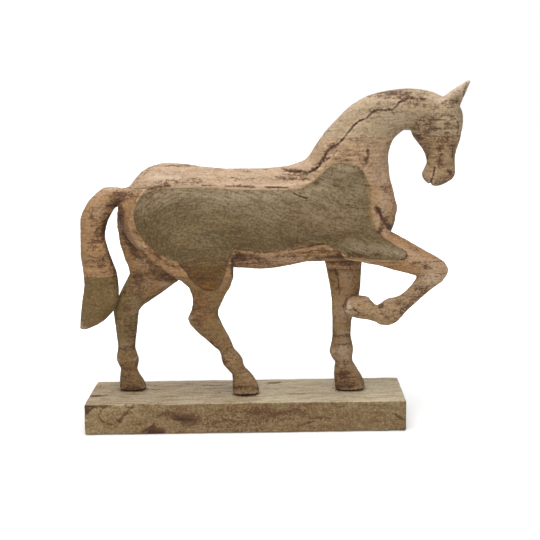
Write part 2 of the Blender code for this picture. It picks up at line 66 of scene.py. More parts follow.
# Vertices of a board that lie closer than this, in metres, are one
WELD = 0.000002
GLUE_REACH = 0.25
HAIRLINE = 0.02
FAR = 1000.0
FLOOR_GAP = 0.2
# The shortest waves kept at ears, lips and soles, and those that tell fine cuts and broad
# hollows from the rest of the surface
CRISP_WAVE = 4.5
FINE_WAVE = 7
BROAD_WAVE = 26
# How sharply a painted spot ends
SPOT_EDGE = 2.6

# The camera that the photograph was solved for, in millimetres and radians
EYE = (45.03, -1215.09, 391.58)
PITCH = 0.176717
YAW = -0.012497
ROLL = -0.018036
FOCAL_LENGTH = 73.43
SENSOR = 36.0

SIDE_BOARDS = ("right_side_board", "left_side_board", "right_thigh_board", "left_thigh_board")
SCREWS = ("right_hind_screw", "left_hind_screw", "left_fore_screw")
# From where along X the block takes the lifted leg's knee, and the lifted leg the shoulder,
# so that each is smoothed as one with its neighbour past their seam
KNEE_FROM = 165.0
SHOULDER_FROM = 112.0


def seam_between(lower, upper, axis=Z):
    """The middle of the glue line between two boards of the frame."""
    return (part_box(lower)[1][axis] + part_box(upper)[0][axis]) / 2 / MM


SHANK_SEAM = seam_between("left_fore_hoof", "left_shin_board")
THIGH_SEAM = seam_between("left_shin_board", "trunk_board")
BACK_SEAM = seam_between("trunk_board", "neck_board")
CREST_SEAM = seam_between("neck_board", "crest_board")
FLANK_SEAM = seam_between("right_thigh_board", "right_side_board")
RIGHT_PLANE = seam_between("right_side_board", "trunk_board", Y)
LEFT_PLANE = seam_between("trunk_board", "left_side_board", Y)
THROAT_CUT = seam_between("neck_board", "muzzle_block", X)
SEAMS = {Y: (RIGHT_PLANE, LEFT_PLANE),
         Z: (SHANK_SEAM, THIGH_SEAM, FLANK_SEAM, BACK_SEAM, CREST_SEAM)}

# Each centre board's ground colour, flecks, stain and level grain, and the seams that bound it
BOARDS = {
    "crest_board": ("beige", 0.7, 0.05, 0.85, [(Z, CREST_SEAM, -1)]),
    "muzzle_block": ("dun", 1.2, 0.06, 0.85, [(Z, CREST_SEAM, 1), (X, THROAT_CUT, -1)]),
    "neck_board": ("pink", 1.0, 0.0, 1.0,
                   [(Z, BACK_SEAM, -1), (Z, CREST_SEAM, 1), (X, THROAT_CUT, 1)]),
    "trunk_board": ("russet", 1.0, 0.04, 0.7, [(Z, THIGH_SEAM, -1), (Z, BACK_SEAM, 1)]),
    "tail_board": ("moss", 1.2, 0.03, 0.35, [(Z, THIGH_SEAM, 1)]),
    "right_hock_board": ("tawny", 0.8, 0.05, 0.4, [(Z, SHANK_SEAM, -1), (Z, THIGH_SEAM, 1)]),
    "left_hock_board": ("moss", 0.8, 0.06, 0.4, [(Z, SHANK_SEAM, -1), (Z, THIGH_SEAM, 1)]),
    "left_shin_board": ("tawny", 1.3, 0.03, 0.5, [(Z, SHANK_SEAM, -1), (Z, THIGH_SEAM, 1)]),
    "right_hind_hoof": ("rose", 1.3, 0.10, 0.6, [(Z, SHANK_SEAM, 1)]),
    "left_hind_hoof": ("tawny", 1.0, 0.10, 0.6, [(Z, SHANK_SEAM, 1)]),
    "left_fore_hoof": ("rose", 1.4, 0.04, 0.6, [(Z, SHANK_SEAM, 1)]),
}

# The drawn lines of the carving, each through its own points
MANE_EDGE = ((41, 290), (50, 286), (57, 284.5), (65, 284.2), (73, 283), (80, 286), (85, 289.5),
             (88, 294.5), (92, 300), (96, 307), (100, 310), (105, 313), (110, 316), (113, 320),
             (118, 326), (122, 331), (128, 337), (133, 339.5), (138, 341.5), (142, 345),
             (147, 349), (152, 350), (161, 350), (168, 351.5), (173, 356.5), (178, 360),
             (184, 362), (192, 361.8), (200, 361))
FLANK_BORDER = (
    (-121, 241), (-118, 252), (-109, 262), (-93, 267), (-69, 268.6), (-48, 268.6), (-25, 267.4),
    (2, 265.6), (28, 264.6), (53, 264.6), (65, 266), (73, 269.5), (82, 276.5), (92, 285),
    (101, 291.5), (110, 293.3), (119, 292), (127, 289), (133, 284.5), (138, 277), (141.5, 266),
    (142.5, 254), (143.5, 240), (146, 227), (150, 217), (157, 210), (165, 203.5), (173, 198.5),
    (180, 194), (182.6, 189), (180, 184.4), (172, 183), (152, 184), (131, 186), (114, 190.5),
    (104, 197), (94, 202), (84, 203.6), (74, 202.6), (64, 200.6), (49, 198), (35, 197),
    (18, 196), (1, 196.6), (-9, 198), (-14.5, 191), (-18, 182), (-21, 170), (-26, 158.5),
    (-34, 151.5), (-43, 152.5), (-52, 158.5), (-60, 167), (-66, 176), (-74, 184.5), (-84, 188.6),
    (-95, 195), (-107, 204.5), (-115, 216), (-119.5, 227), (-121, 241))
CHEST_FOLD = ((146, 246), (149, 243), (152, 240), (156, 231), (163, 222), (168, 217))
RIM = ((-121, 266), (-125.5, 256), (-127.6, 244), (-127.3, 231), (-124, 220), (-119, 210),
       (-112, 200.5), (-104, 192.5), (-96, 185.5), (-87, 178.5), (-79, 173), (-71, 168), (-63, 163))
RIM_HOLLOW = ((-122, 232), (-116, 217.5), (-108.5, 205), (-100, 195), (-91, 187.5),
              (-82, 181.5), (-74, 176), (-67, 170), (-59, 163))
MOUTH = ((208.5, 268.5), (209.6, 272), (211.5, 277), (212.8, 284), (213.2, 288))
EYE_ARC = ((233, 340), (237, 337.5), (239, 332), (238.8, 326), (236.5, 321.5))
EAR_FRONT = ((247.6, 380), (246, 374), (244.2, 367.5), (242, 361.5))
TWISTED_LINE = ((88, 297.5), (92, 295.5), (97, 299), (101, 300.5), (104, 304), (108, 309))

# The drawn lines that only stain marks: points, half width and strength
STAINED_LINES = {
    "tail": (
        (((-165, 222), (-158, 226), (-154, 221), (-160, 217)), 1.0, 0.6),
        (((-160, 236), (-152, 241), (-146, 238)), 1.1, 0.6), (((-152, 251), (-144, 249)), 1.2, 0.6),
        (((-140, 255), (-136, 249), (-139, 243)), 1.2, 0.7), (((-160, 190), (-152, 187)), 1.0, 0.5),
        (((-158, 205), (-150, 203), (-145, 205)), 1.0, 0.45)),
    "body and thighs": (
        (((56, 261), (64, 257.2), (74, 254)), 1.2, 1.0),
        (((74, 254), (84, 251), (94, 247)), 0.7, 0.35),
        (((95, 255), (104, 251), (114, 248), (124, 243), (134, 239)), 1.0, 0.4),
        (((-86, 259), (-98, 255), (-106, 249), (-109, 240), (-109, 231), (-107, 220), (-100, 209)),
         1.1, 0.7),
        (((-84, 253), (-95, 249), (-101, 242), (-102, 232), (-100, 221), (-93, 211)), 1.0, 0.5),
        (((-10, 199), (-14.5, 191), (-18, 182), (-21, 170), (-26, 158.5), (-34, 151.5)), 1.6, 0.5),
        (((-34, 151.5), (-43, 152.5), (-52, 158.5), (-60, 167), (-66, 176), (-74, 185)), 1.1, 0.75),
        (((5, 196), (20, 195), (40, 196), (60, 198.5), (80, 202), (94, 202), (106, 195)),
         1.5, 0.55), (((72, 200.5), (82, 203), (93, 202.5)), 1.2, 0.9),
        (((-20, 269.8), (-8, 269.6), (6, 269.2), (16, 268.8)), 1.1, 0.85),
        (((24, 268), (36, 267.8), (46, 267.2), (53, 266.8)), 0.9, 0.9),
        (((-98, 271.5), (-88, 270.6), (-78, 271)), 1.3, 0.75),
        (((-76, 275), (-60, 274), (-46, 273)), 1.6, 0.45),
        (((-45, 271.5), (-36, 270.5), (-28, 271)), 1.0, 0.6),
        (((62, 224), (61, 212), (60, 202)), 1.6, 0.55), (((-108, 178), (-98, 175)), 1.3, 0.5),
        (((-118, 243), (-119.6, 235), (-118, 227)), 1.0, 0.5),
        (((-112, 172), (-103, 166)), 1.3, 0.5), (((-88, 292), (-76, 293), (-66, 291)), 0.9, 0.45),
        (((-110, 281), (-104, 287)), 1.0, 0.5), (((-30, 289), (-18, 288)), 0.8, 0.45),
        (((0, 286), (14, 285.4)), 0.8, 0.45), (((24, 287), (34, 286)), 0.8, 0.4),
        (((-20, 280), (-2, 279)), 0.8, 0.35), (((38, 279), (52, 276), (60, 277)), 0.9, 0.45),
        (((52, 240), (56, 228)), 1.2, 0.25), (((78, 238), (84, 226), (86, 216)), 1.0, 0.25)),
    "chest and forearm": (
        (((147, 219), (157, 210), (166, 203), (176, 197)), 1.0, 0.5),
        (((176, 197), (181, 193.5), (182.8, 189), (180.5, 184.8), (174, 183.5)), 1.0, 0.95)),
    "forelegs": (
        (((174, 183.5), (160, 184.5), (140, 185.5)), 0.8, 0.4),
        (((118, 143.5), (115, 139), (112.5, 133), (112, 127.5)), 0.9, 0.7),
        (((102, 176), (106, 165), (107, 153), (108, 143)), 1.1, 0.85),
        (((97, 161), (101, 159.5), (105, 159)), 1.0, 0.8),
        (((174, 122), (186, 133), (198, 144), (209, 155)), 3.0, 0.5),
        (((122, 133), (125, 127), (131, 123)), 0.9, 0.6),
        (((106, 128), (103, 120), (100, 114)), 0.7, 0.5),
        (((96, 171), (112, 173), (130, 171.5)), 1.2, 0.6),
        (((152, 128), (158, 122), (162, 116)), 1.4, 0.5),
        (((172, 129), (168, 122), (170, 116)), 0.9, 0.4)),
    "neck": (
        (((100, 280), (108, 284), (122, 290)), 1.0, 0.3),
        (((141, 310), (139, 305), (140.4, 300), (138, 296), (138.6, 291)), 1.2, 0.7),
        (((127, 305.4), (136, 306)), 0.7, 0.4), (((128, 301), (136, 300.4)), 0.7, 0.4),
        (((118, 301), (126, 302), (134, 301)), 0.7, 0.4), (((112, 296), (124, 296.4)), 0.7, 0.35),
        (((64, 282), (76, 279)), 0.9, 0.5), (((93, 283), (101, 290), (109, 292.4)), 0.7, 0.4),
        (((122, 291), (130, 287.5), (137, 280)), 0.9, 0.5),
        (((141.5, 270), (142.3, 258), (142.6, 246)), 0.8, 0.45)),
    "head": (
        (((212, 345.5), (220, 345), (228, 345.5)), 0.7, 0.55),
        (((226, 351), (233, 351.5)), 0.8, 0.7), (((233, 314), (232.5, 303), (234, 293)), 0.8, 0.55),
        (((196, 361.6), (200, 361.2), (203, 361)), 1.4, 0.8),
        (((204, 338), (214, 338.6), (224, 338)), 0.8, 0.5), (((200, 333), (209, 333.4)), 0.8, 0.5),
        (((204, 329), (212, 328.6), (221, 329)), 0.8, 0.45), (((198, 325), (208, 325.4)), 0.8, 0.4),
        (((207, 350), (216, 351), (222, 350)), 0.7, 0.35), (((223, 334), (231, 334.6)), 0.8, 0.4),
        (((220.4, 312), (218.4, 306), (220.4, 301), (218, 296), (219, 290)), 0.9, 0.65),
        (((214, 306), (224, 306.6)), 0.7, 0.45), (((213, 299), (223, 299.4)), 0.7, 0.5),
        (((214, 293), (225, 293.4)), 0.7, 0.45), (((226, 284), (231, 281), (229, 278)), 1.1, 0.7)),
}


def smooth_line(points, steps=5):
    """More points along a drawn line, on a curve through the given ones."""
    last = len(points) - 1
    line = []
    for i in range(last):
        p0, p1, p2, p3 = (np.array(points[k]) for k in (max(i - 1, 0), i, i + 1,
                                                        min(i + 2, last)))
        for step in range(steps):
            t = step / steps
            line.append(0.5 * (2 * p1 + (p2 - p0) * t + (2 * p0 - 5 * p1 + 4 * p2 - p3) * t ** 2
                               + (3 * p1 - p0 - 3 * p2 + p3) * t ** 3))
    line.append(np.array(points[last], float))
    return line


def read_points(mesh):
    """A mesh's vertices in millimetres."""
    flat = np.empty(len(mesh.vertices) * 3, np.float32)
    mesh.vertices.foreach_get("co", flat)
    return flat.reshape(-1, 3).astype(float) / MM


def write_points(mesh, points):
    mesh.vertices.foreach_set("co", (points * MM).astype(np.float32).ravel())
    mesh.update()


def read_normals(mesh):
    flat = np.empty(len(mesh.vertices) * 3, np.float32)
    mesh.vertex_normals.foreach_get("vector", flat)
    return flat.reshape(-1, 3).astype(float)


def write_value(mesh, name, values):
    """Keep one number for each vertex, for the materials to read."""
    kept = mesh.attributes.get(name) or mesh.attributes.new(name, "FLOAT", "POINT")
    kept.data.foreach_set("value", values.astype(np.float32))


class Links:
    """The edges of a mesh, to average each vertex's neighbours."""

    def __init__(self, mesh):
        flat = np.empty(len(mesh.edges) * 2, np.int32)
        mesh.edges.foreach_get("vertices", flat)
        self.start, self.end = flat.reshape(-1, 2).T
        self.count = len(mesh.vertices)
        self.degree = (np.bincount(self.start, minlength=self.count)
                       + np.bincount(self.end, minlength=self.count)).clip(1)

    def average(self, values):
        """The mean of the neighbours of each vertex, for every column of values."""
        columns = []
        for column in values.T:
            columns.append((np.bincount(self.start, column[self.end], self.count)
                            + np.bincount(self.end, column[self.start], self.count))
                           / self.degree)
        return np.stack(columns, 1)

    def low_pass(self, values, wave, spacing, terms):
        """Take out all that waves shorter than a length, without shrinking the shape.

        A windowed series of Chebyshev terms, each one average of neighbours on.
        """
        edge = 2 * pi * spacing / wave / 2 ** 0.5
        order = np.arange(terms + 1)
        share = np.empty(terms + 1)
        share[0] = edge / pi
        share[1:] = 2 * np.sin(order[1:] * edge) / (order[1:] * pi)
        share *= 0.54 + 0.46 * np.cos(pi * order / (terms + 1))
        share /= share.sum()
        before = values
        current = self.average(values)
        total = share[0] * before + share[1] * current
        for k in range(2, terms + 1):
            before, current = current, 2 * self.average(current) - before
            total += share[k] * current
        return total


class Drawing:
    """Where each vertex of a mesh lies in a flat drawing."""

    def __init__(self, x, z):
        self.x = x
        self.z = z

    @classmethod
    def of_flank(cls, points):
        """The side drawing, laid on both flanks of a carved block."""
        reach = (-np.abs(points[:, 1]) - EYE[1]) / -EYE[1]
        return cls(EYE[0] + (points[:, 0] - EYE[0]) / reach,
                   EYE[2] + (points[:, 2] - EYE[2]) / reach)

    def from_line(self, line, reach=12.0):
        """The distance to a drawn line, its side, and how far along it is, 0 to 1.

        Points further off than the reach only get a large distance.
        """
        line = smooth_line(line)
        low = np.min(line, 0) - reach
        high = np.max(line, 0) + reach
        close = np.flatnonzero((self.x > low[0]) & (self.x < high[0])
                               & (self.z > low[1]) & (self.z < high[1]))
        x = self.x[close]
        z = self.z[close]
        lengths = [np.hypot(*(b - a)) for a, b in zip(line, line[1:])]
        nearest = np.full(len(close), FAR)
        side = np.zeros(len(close))
        along = np.zeros(len(close))
        passed = 0.0
        for (ax, az), (bx, bz), length in zip(line, line[1:], lengths):
            dx, dz = bx - ax, bz - az
            t = (((x - ax) * dx + (z - az) * dz) / length ** 2).clip(0, 1)
            ex, ez = x - ax - t * dx, z - az - t * dz
            distance = np.hypot(ex, ez)
            near = distance < nearest
            nearest[near] = distance[near]
            side[near] = np.sign(dx * ez - dz * ex)[near]
            along[near] = ((passed + t * length) / sum(lengths))[near]
            passed += length
        found = np.zeros((3, len(self.x)))
        found[0] = FAR
        found[:, close] = nearest, side, along
        return found

    def patch(self, x, z, length, height, turn=0.0, edge=2.0):
        """A soft oval spot: 1 in its middle, falling to 0 past its half sizes."""
        angle = turn * pi / 180
        along = (self.x - x) * cos(angle) + (self.z - z) * sin(angle)
        across = (self.z - z) * cos(angle) - (self.x - x) * sin(angle)
        return np.exp(-((along / length) ** 2 + (across / height) ** 2) ** (edge / 2))


def ripple(points, wave, seed, waves=12):
    """A smooth, irregular wave between about -1 and 1 through space."""
    chance = np.random.default_rng(seed)
    total = np.zeros(len(points))
    for _ in range(waves):
        way = chance.normal(size=3)
        way *= 2 * pi / wave * chance.uniform(0.6, 1.4) / np.linalg.norm(way)
        total += np.cos(points @ way + chance.uniform(0, 2 * pi))
    return total / (waves / 2) ** 0.5


def ends(along, share=0.12):
    """A line's fade at both of its ends."""
    return (np.minimum(along, 1 - along) / share).clip(0, 1)


def within(values, low, high):
    """A soft step from 0 at low to 1 at high."""
    t = ((values - low) / (high - low)).clip(0, 1)
    return t * t * (3 - 2 * t)


def millimetres(name, description, default, low, high):
    return FloatProperty(name=name, description=f"{description}, in millimetres",
                         default=default, min=low, max=high)


class CarvingSizes(bpy.types.PropertyGroup):
    """How finely the block is modelled and how deep it is carved."""

    cell: millimetres("Cell", "Spacing of the carved surface's vertices", 0.8, 0.4, 3.0)
    body_wave: millimetres("Body wave", "Shortest wave kept on trunk and neck", 15.0, 4.0, 40.0)
    limb_wave: millimetres("Limb wave", "Shortest wave kept on legs and head", 8.0, 2.0, 20.0)
    mane_depth: millimetres("Mane groove", "Depth of the groove under the mane", 0.95, 0.0, 4.0)
    mane_height: millimetres("Mane height", "How far the mane stands over the neck", 0.9, 0.0, 3.0)
    rim_depth: millimetres("Thigh hollow", "Depth of the hollow inside the thigh's rim",
                           1.7, 0.0, 4.0)
    tool_marks: millimetres("Tool marks", "Height of the waves left by the carver's tools",
                            0.16, 0.0, 1.0)
    plinth_cell: millimetres("Plinth cell", "Spacing of the plinth's vertices", 1.15, 0.8, 5.0)
    plinth_wear: millimetres("Plinth wear", "Reach of the rounding along the plinth's edges",
                             5.5, 3.0, 20.0)


def swatch(name, description, colour):
    return FloatVectorProperty(name=name, description=description, subtype="COLOR",
                               default=colour)


class WoodColours(bpy.types.PropertyGroup):
    """The linear colours of the woods, the wash, the stain and the screws."""

    # Cream is also laid on the up-facing back as painted light from above
    cream: swatch("Cream", "Whitewash over bare wood", (0.5, 0.374, 0.272))
    beige: swatch("Beige", "Olive-beige wood of mane and head", (0.355, 0.262, 0.155))
    pink: swatch("Pink", "Bare pinkish wood of neck and back", (0.37, 0.24, 0.137))
    russet: swatch("Russet", "Reddish wood of chest, belly and muzzle", (0.335, 0.19, 0.088))
    dun: swatch("Dun", "Wood of the muzzle and the lifted shank", (0.335, 0.218, 0.115))
    rose: swatch("Rose", "Wood of the hooves", (0.26, 0.158, 0.076))
    tawny: swatch("Tawny", "Olive-brown wood of the shanks", (0.21, 0.126, 0.052))
    moss: swatch("Moss", "Dark olive wood of tail and far hock", (0.165, 0.106, 0.04))
    olive: swatch("Olive", "Grey-olive wood of the flanks", (0.148, 0.106, 0.052))
    honey: swatch("Honey", "Wood at the tip of the thighs", (0.105, 0.062, 0.024))
    gold: swatch("Gold", "Yellow sapwood", (0.3, 0.2, 0.085))
    mist: swatch("Mist", "Grey wash left on the flanks", (0.33, 0.258, 0.165))
    # Chalk on the plinth's top stands partly for grey wash and partly for painted light from above
    chalk: swatch("Chalk", "Grey wash on the plinth's top", (0.515, 0.437, 0.302))
    amber: swatch("Amber", "Orange-brown heartwood", (0.19, 0.085, 0.018))
    umber: swatch("Umber", "Stain that stayed in the pores", (0.08, 0.036, 0.017))
    black: swatch("Black", "Stain that filled the deepest cuts", (0.03, 0.016, 0.009))
    ash: swatch("Ash", "Light grey-olive wood of the plinth", (0.262, 0.193, 0.1))
    bark: swatch("Bark", "Brown figure of the plinth", (0.14, 0.07, 0.027))
    steel: swatch("Steel", "Plain screw steel", (0.55, 0.54, 0.52))


def watts(name, description, default):
    return FloatProperty(name=name, description=description, default=default, min=0.0,
                         unit="POWER")


class StudioLight(bpy.types.PropertyGroup):
    """The plain studio that the horse stands in."""

    top_power: watts("Top light", "Power of the softbox overhead", 33.0)
    front_power: watts("Front light", "Power of the softbox by the camera", 20.5)
    rear_power: watts("Rear light", "Power of the softbox behind the horse", 9.0)
    room: FloatProperty(
        name="Room", description="Strength of the light from all around", default=0.24,
        min=0.0, max=1.0)
    floor: swatch("Floor", "Colour of the floor", (0.80, 0.80, 0.79))


def carving():
    return bpy.context.scene.horse_carving


def colours():
    return bpy.context.scene.horse_colours


def studio():
    return bpy.context.scene.horse_studio


def new_object(name, mesh):
    piece = bpy.data.objects.new(name, mesh)
    bpy.context.scene.collection.objects.link(piece)
    return piece


def mesh_of(bm, name):
    """Turn a bmesh into a mesh of its own."""
    mesh = bpy.data.meshes.new(name)
    bm.to_mesh(mesh)
    bm.free()
    return mesh


def evaluated_mesh(piece):
    """The mesh of an object with its modifiers applied."""
    bpy.context.view_layer.update()
    depsgraph = bpy.context.evaluated_depsgraph_get()
    return bpy.data.meshes.new_from_object(piece.evaluated_get(depsgraph))


def saw(bm, axis, place, sign):
    """Cut a closed solid square across an axis, drop what lies past the cut and close it.

    The rim of the cut stays a sharp edge.
    """
    point = Vector()
    point[axis] = place * MM
    normal = Vector()
    normal[axis] = sign
    bmesh.ops.bisect_plane(bm, geom=bm.verts[:] + bm.edges[:] + bm.faces[:], dist=WELD / 10,
                           plane_co=point, plane_no=normal, clear_outer=True)
    rim = [edge for edge in bm.edges if edge.is_boundary]
    for edge in rim:
        edge.smooth = False
    closed = bmesh.ops.holes_fill(bm, edges=rim, sides=0)
    for face in closed["faces"]:
        face.smooth = False
    bmesh.ops.triangulate(bm, faces=closed["faces"], quad_method="BEAUTY", ngon_method="EAR_CLIP")


def islands(bm):
    """The separate bodies of a mesh, as sets of vertices."""
    left = set(bm.verts)
    found = []
    while left:
        body = {left.pop()}
        unfollowed = list(body)
        while unfollowed:
            for edge in unfollowed.pop().link_edges:
                for vert in edge.verts:
                    if vert not in body:
                        body.add(vert)
                        unfollowed.append(vert)
        left -= body
        found.append(body)
    return found


def keep_island_of(bm, node):
    """Keep the body whose middle comes nearest to a board of the frame."""
    low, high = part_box(node)
    middle = (low + high) / 2

    def apart(body):
        corners = np.array([vert.co for vert in body])
        return (Vector((corners.min(0) + corners.max(0)) / 2) - middle).length

    bodies = islands(bm)
    kept = min(bodies, key=apart)
    spare = [vert for body in bodies if body is not kept for vert in body]
    bmesh.ops.delete(bm, geom=spare, context="VERTS")


def board_of_frame(name, axis=None, place=0.0, sign=1):
    """A welded copy of a frame board, cut off on one side where that is asked for."""
    bm = bmesh.new()
    bm.from_mesh(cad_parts[name].data)
    bmesh.ops.remove_doubles(bm, verts=bm.verts, dist=WELD)
    if axis is not None:
        saw(bm, axis, place, sign)
    return mesh_of(bm, name)


def glued_up(name, boards, cell):
    """One solid of several boards, with a fine even mesh."""
    bm = bmesh.new()
    for board in boards:
        bm.from_mesh(board)
        bpy.data.meshes.remove(board)
    mesh = mesh_of(bm, name)
    points = read_points(mesh)
    for axis, places in SEAMS.items():
        for place in places:
            by_seam = np.abs(points[:, axis] - place) < GLUE_REACH
            points[by_seam, axis] = place
    write_points(mesh, points)
    block = new_object(name, mesh)
    cells = block.modifiers.new("cells", "REMESH")
    cells.mode = "VOXEL"
    cells.voxel_size = cell * MM
    cells.use_smooth_shade = True
    block.data = evaluated_mesh(block)
    block.modifiers.clear()
    block.hide_render = True
    return block


def softened(mesh, links):
    """Smooth the facets of the sawn boards away, more on the body than on the limbs."""
    sizes = carving()
    points = read_points(mesh)
    spacing = sizes.cell
    limbs = links.low_pass(points, sizes.limb_wave, spacing, terms=36)
    body = links.low_pass(points, sizes.body_wave, spacing, terms=64)
    sharp = links.low_pass(points, CRISP_WAVE, spacing, terms=24)
    drawing = Drawing.of_flank(points)
    on_body = np.maximum.reduce([
        drawing.patch(-5, 212, 125, 42, edge=8), drawing.patch(70, 262, 62, 40, 40, edge=6),
        drawing.patch(120, 315, 62, 34, 45, edge=6), drawing.patch(165, 350, 40, 22, edge=6)])
    crisp = np.maximum.reduce([
        drawing.patch(246, 378, 12, 14, 60, edge=6), drawing.patch(214, 272, 18, 14, edge=6),
        within(-points[:, 2], -47, -41), drawing.patch(-180, 114, 14, 12, edge=6)])
    points = limbs + (body - limbs) * on_body[:, None]
    return points + (sharp - points) * crisp[:, None]


# Grooves of the flanks, as (line, half width, depth, share that fades at each end). A depth
# below 0 raises a ridge
FLANK_GROOVES = ((CHEST_FOLD, 2.2, 1.3, 0.12), (RIM, 3.0, -0.8, 0.4), (MOUTH, 0.8, 0.9, 0.05),
                 (EYE_ARC, 0.9, 0.6, 0.12))
# Swellings, as (height, x, z, half length, half height, turn). A height below 0 sinks a
# hollow. On the face's sides: an eye, its socket, the nostril, the cheek and the nose. All
# round the head: the notch of the lips, the ear's tip and its root
FACE_SWELLINGS = ((0.9, 233.5, 330.5, 4.4, 6.6, -8), (-0.9, 232, 330, 8, 11, -8),
                  (-0.9, 229.6, 281.5, 2.2, 3.2, 25), (-0.8, 212, 331, 9, 16, 20),
                  (-0.6, 222, 302, 5, 14, 5))
HEAD_SWELLINGS = ((-2.2, 208.6, 268, 1.5, 3.6, -8), (1.3, 247.5, 379, 3.4, 4.6),
                  (1.2, 237, 369.5, 6, 5))


def groove(drawing, line, width, depth, fade=0.12):
    """A round-bottomed groove along a drawn line."""
    distance, _, along = drawing.from_line(line)
    return -depth * np.exp(-(distance / width) ** 2) * ends(along, fade)


def lowered_ears(points):
    """How far the ears' tips are taken down, so that they end blunt, the left one lower."""
    blunt = 2.0 * within(points[:, 2], 375, 383)
    return blunt + 3.6 * within(points[:, 2], 361, 382) * within(points[:, 1], 1, 5)


def settled_flank(drawing, points):
    """How far each point moves out so that the side board's border meets its line."""
    distance, side, _ = drawing.from_line(FLANK_BORDER, 10.0)
    inside = -side * distance
    plane = (LEFT_PLANE - RIGHT_PLANE) / 2
    short = plane + inside * 0.22 - np.abs(points[:, 1])
    return short * (1 - within(distance, 2.0, 9.0)) * (1 - within(np.abs(short), 1.8, 3.4))


def carved(drawing, points, normals):
    """How far the carver's work lifts or sinks each point of the surface."""
    sizes = carving()
    flank = within(np.abs(normals[:, 1]), 0.05, 0.4)
    distance, side, along = drawing.from_line(MANE_EDGE, 18.0)
    distance = distance + 0.35 * ripple(points, 5, 8) * (distance < 5)
    deep = 0.5 + 0.5 * np.maximum(drawing.patch(74, 286, 26, 14), drawing.patch(120, 330, 18, 14))
    wide = 0.9 + 0.6 * drawing.patch(78, 288, 20, 12)
    cut = -sizes.mane_depth * deep * np.exp(-(distance / wide) ** 2)
    over = sizes.mane_height * within(side * distance, -0.3, 1.0) * within(-distance, -16, -2)
    lift = (cut + over * (side > 0)) * ends(along, 0.06)
    lift += groove(drawing, TWISTED_LINE, 0.7, 0.5)
    for line, width, depth, fade in FLANK_GROOVES:
        lift += flank * groove(drawing, line, width, depth, fade)
    hollow, _, along = drawing.from_line(RIM_HOLLOW)
    wide = 1.6 + 2.6 * within(along, 0.25, 0.7)
    lift -= sizes.rim_depth * np.exp(-(hollow / wide) ** 2) * ends(along, 0.3) * flank
    lift += groove(drawing, EAR_FRONT, 1.0, 0.5, 0.2) * (1 - within(drawing.z, 368, 374))
    for height, *place in FACE_SWELLINGS:
        lift += flank * height * drawing.patch(*place)
    for height, *place in HEAD_SWELLINGS:
        lift += height * drawing.patch(*place)
    for x in range(-17, 56, 3):
        nick = 0.5 + 0.5 * sin(x * 1.7)
        lift -= 0.45 * nick * drawing.patch(x, 268.4 - x * 0.035, 2.4, 0.8)
    lift += sizes.tool_marks * ripple(points, 16, 3)
    lift += sizes.tool_marks * 0.35 * ripple(points, 6, 4)
    return lift
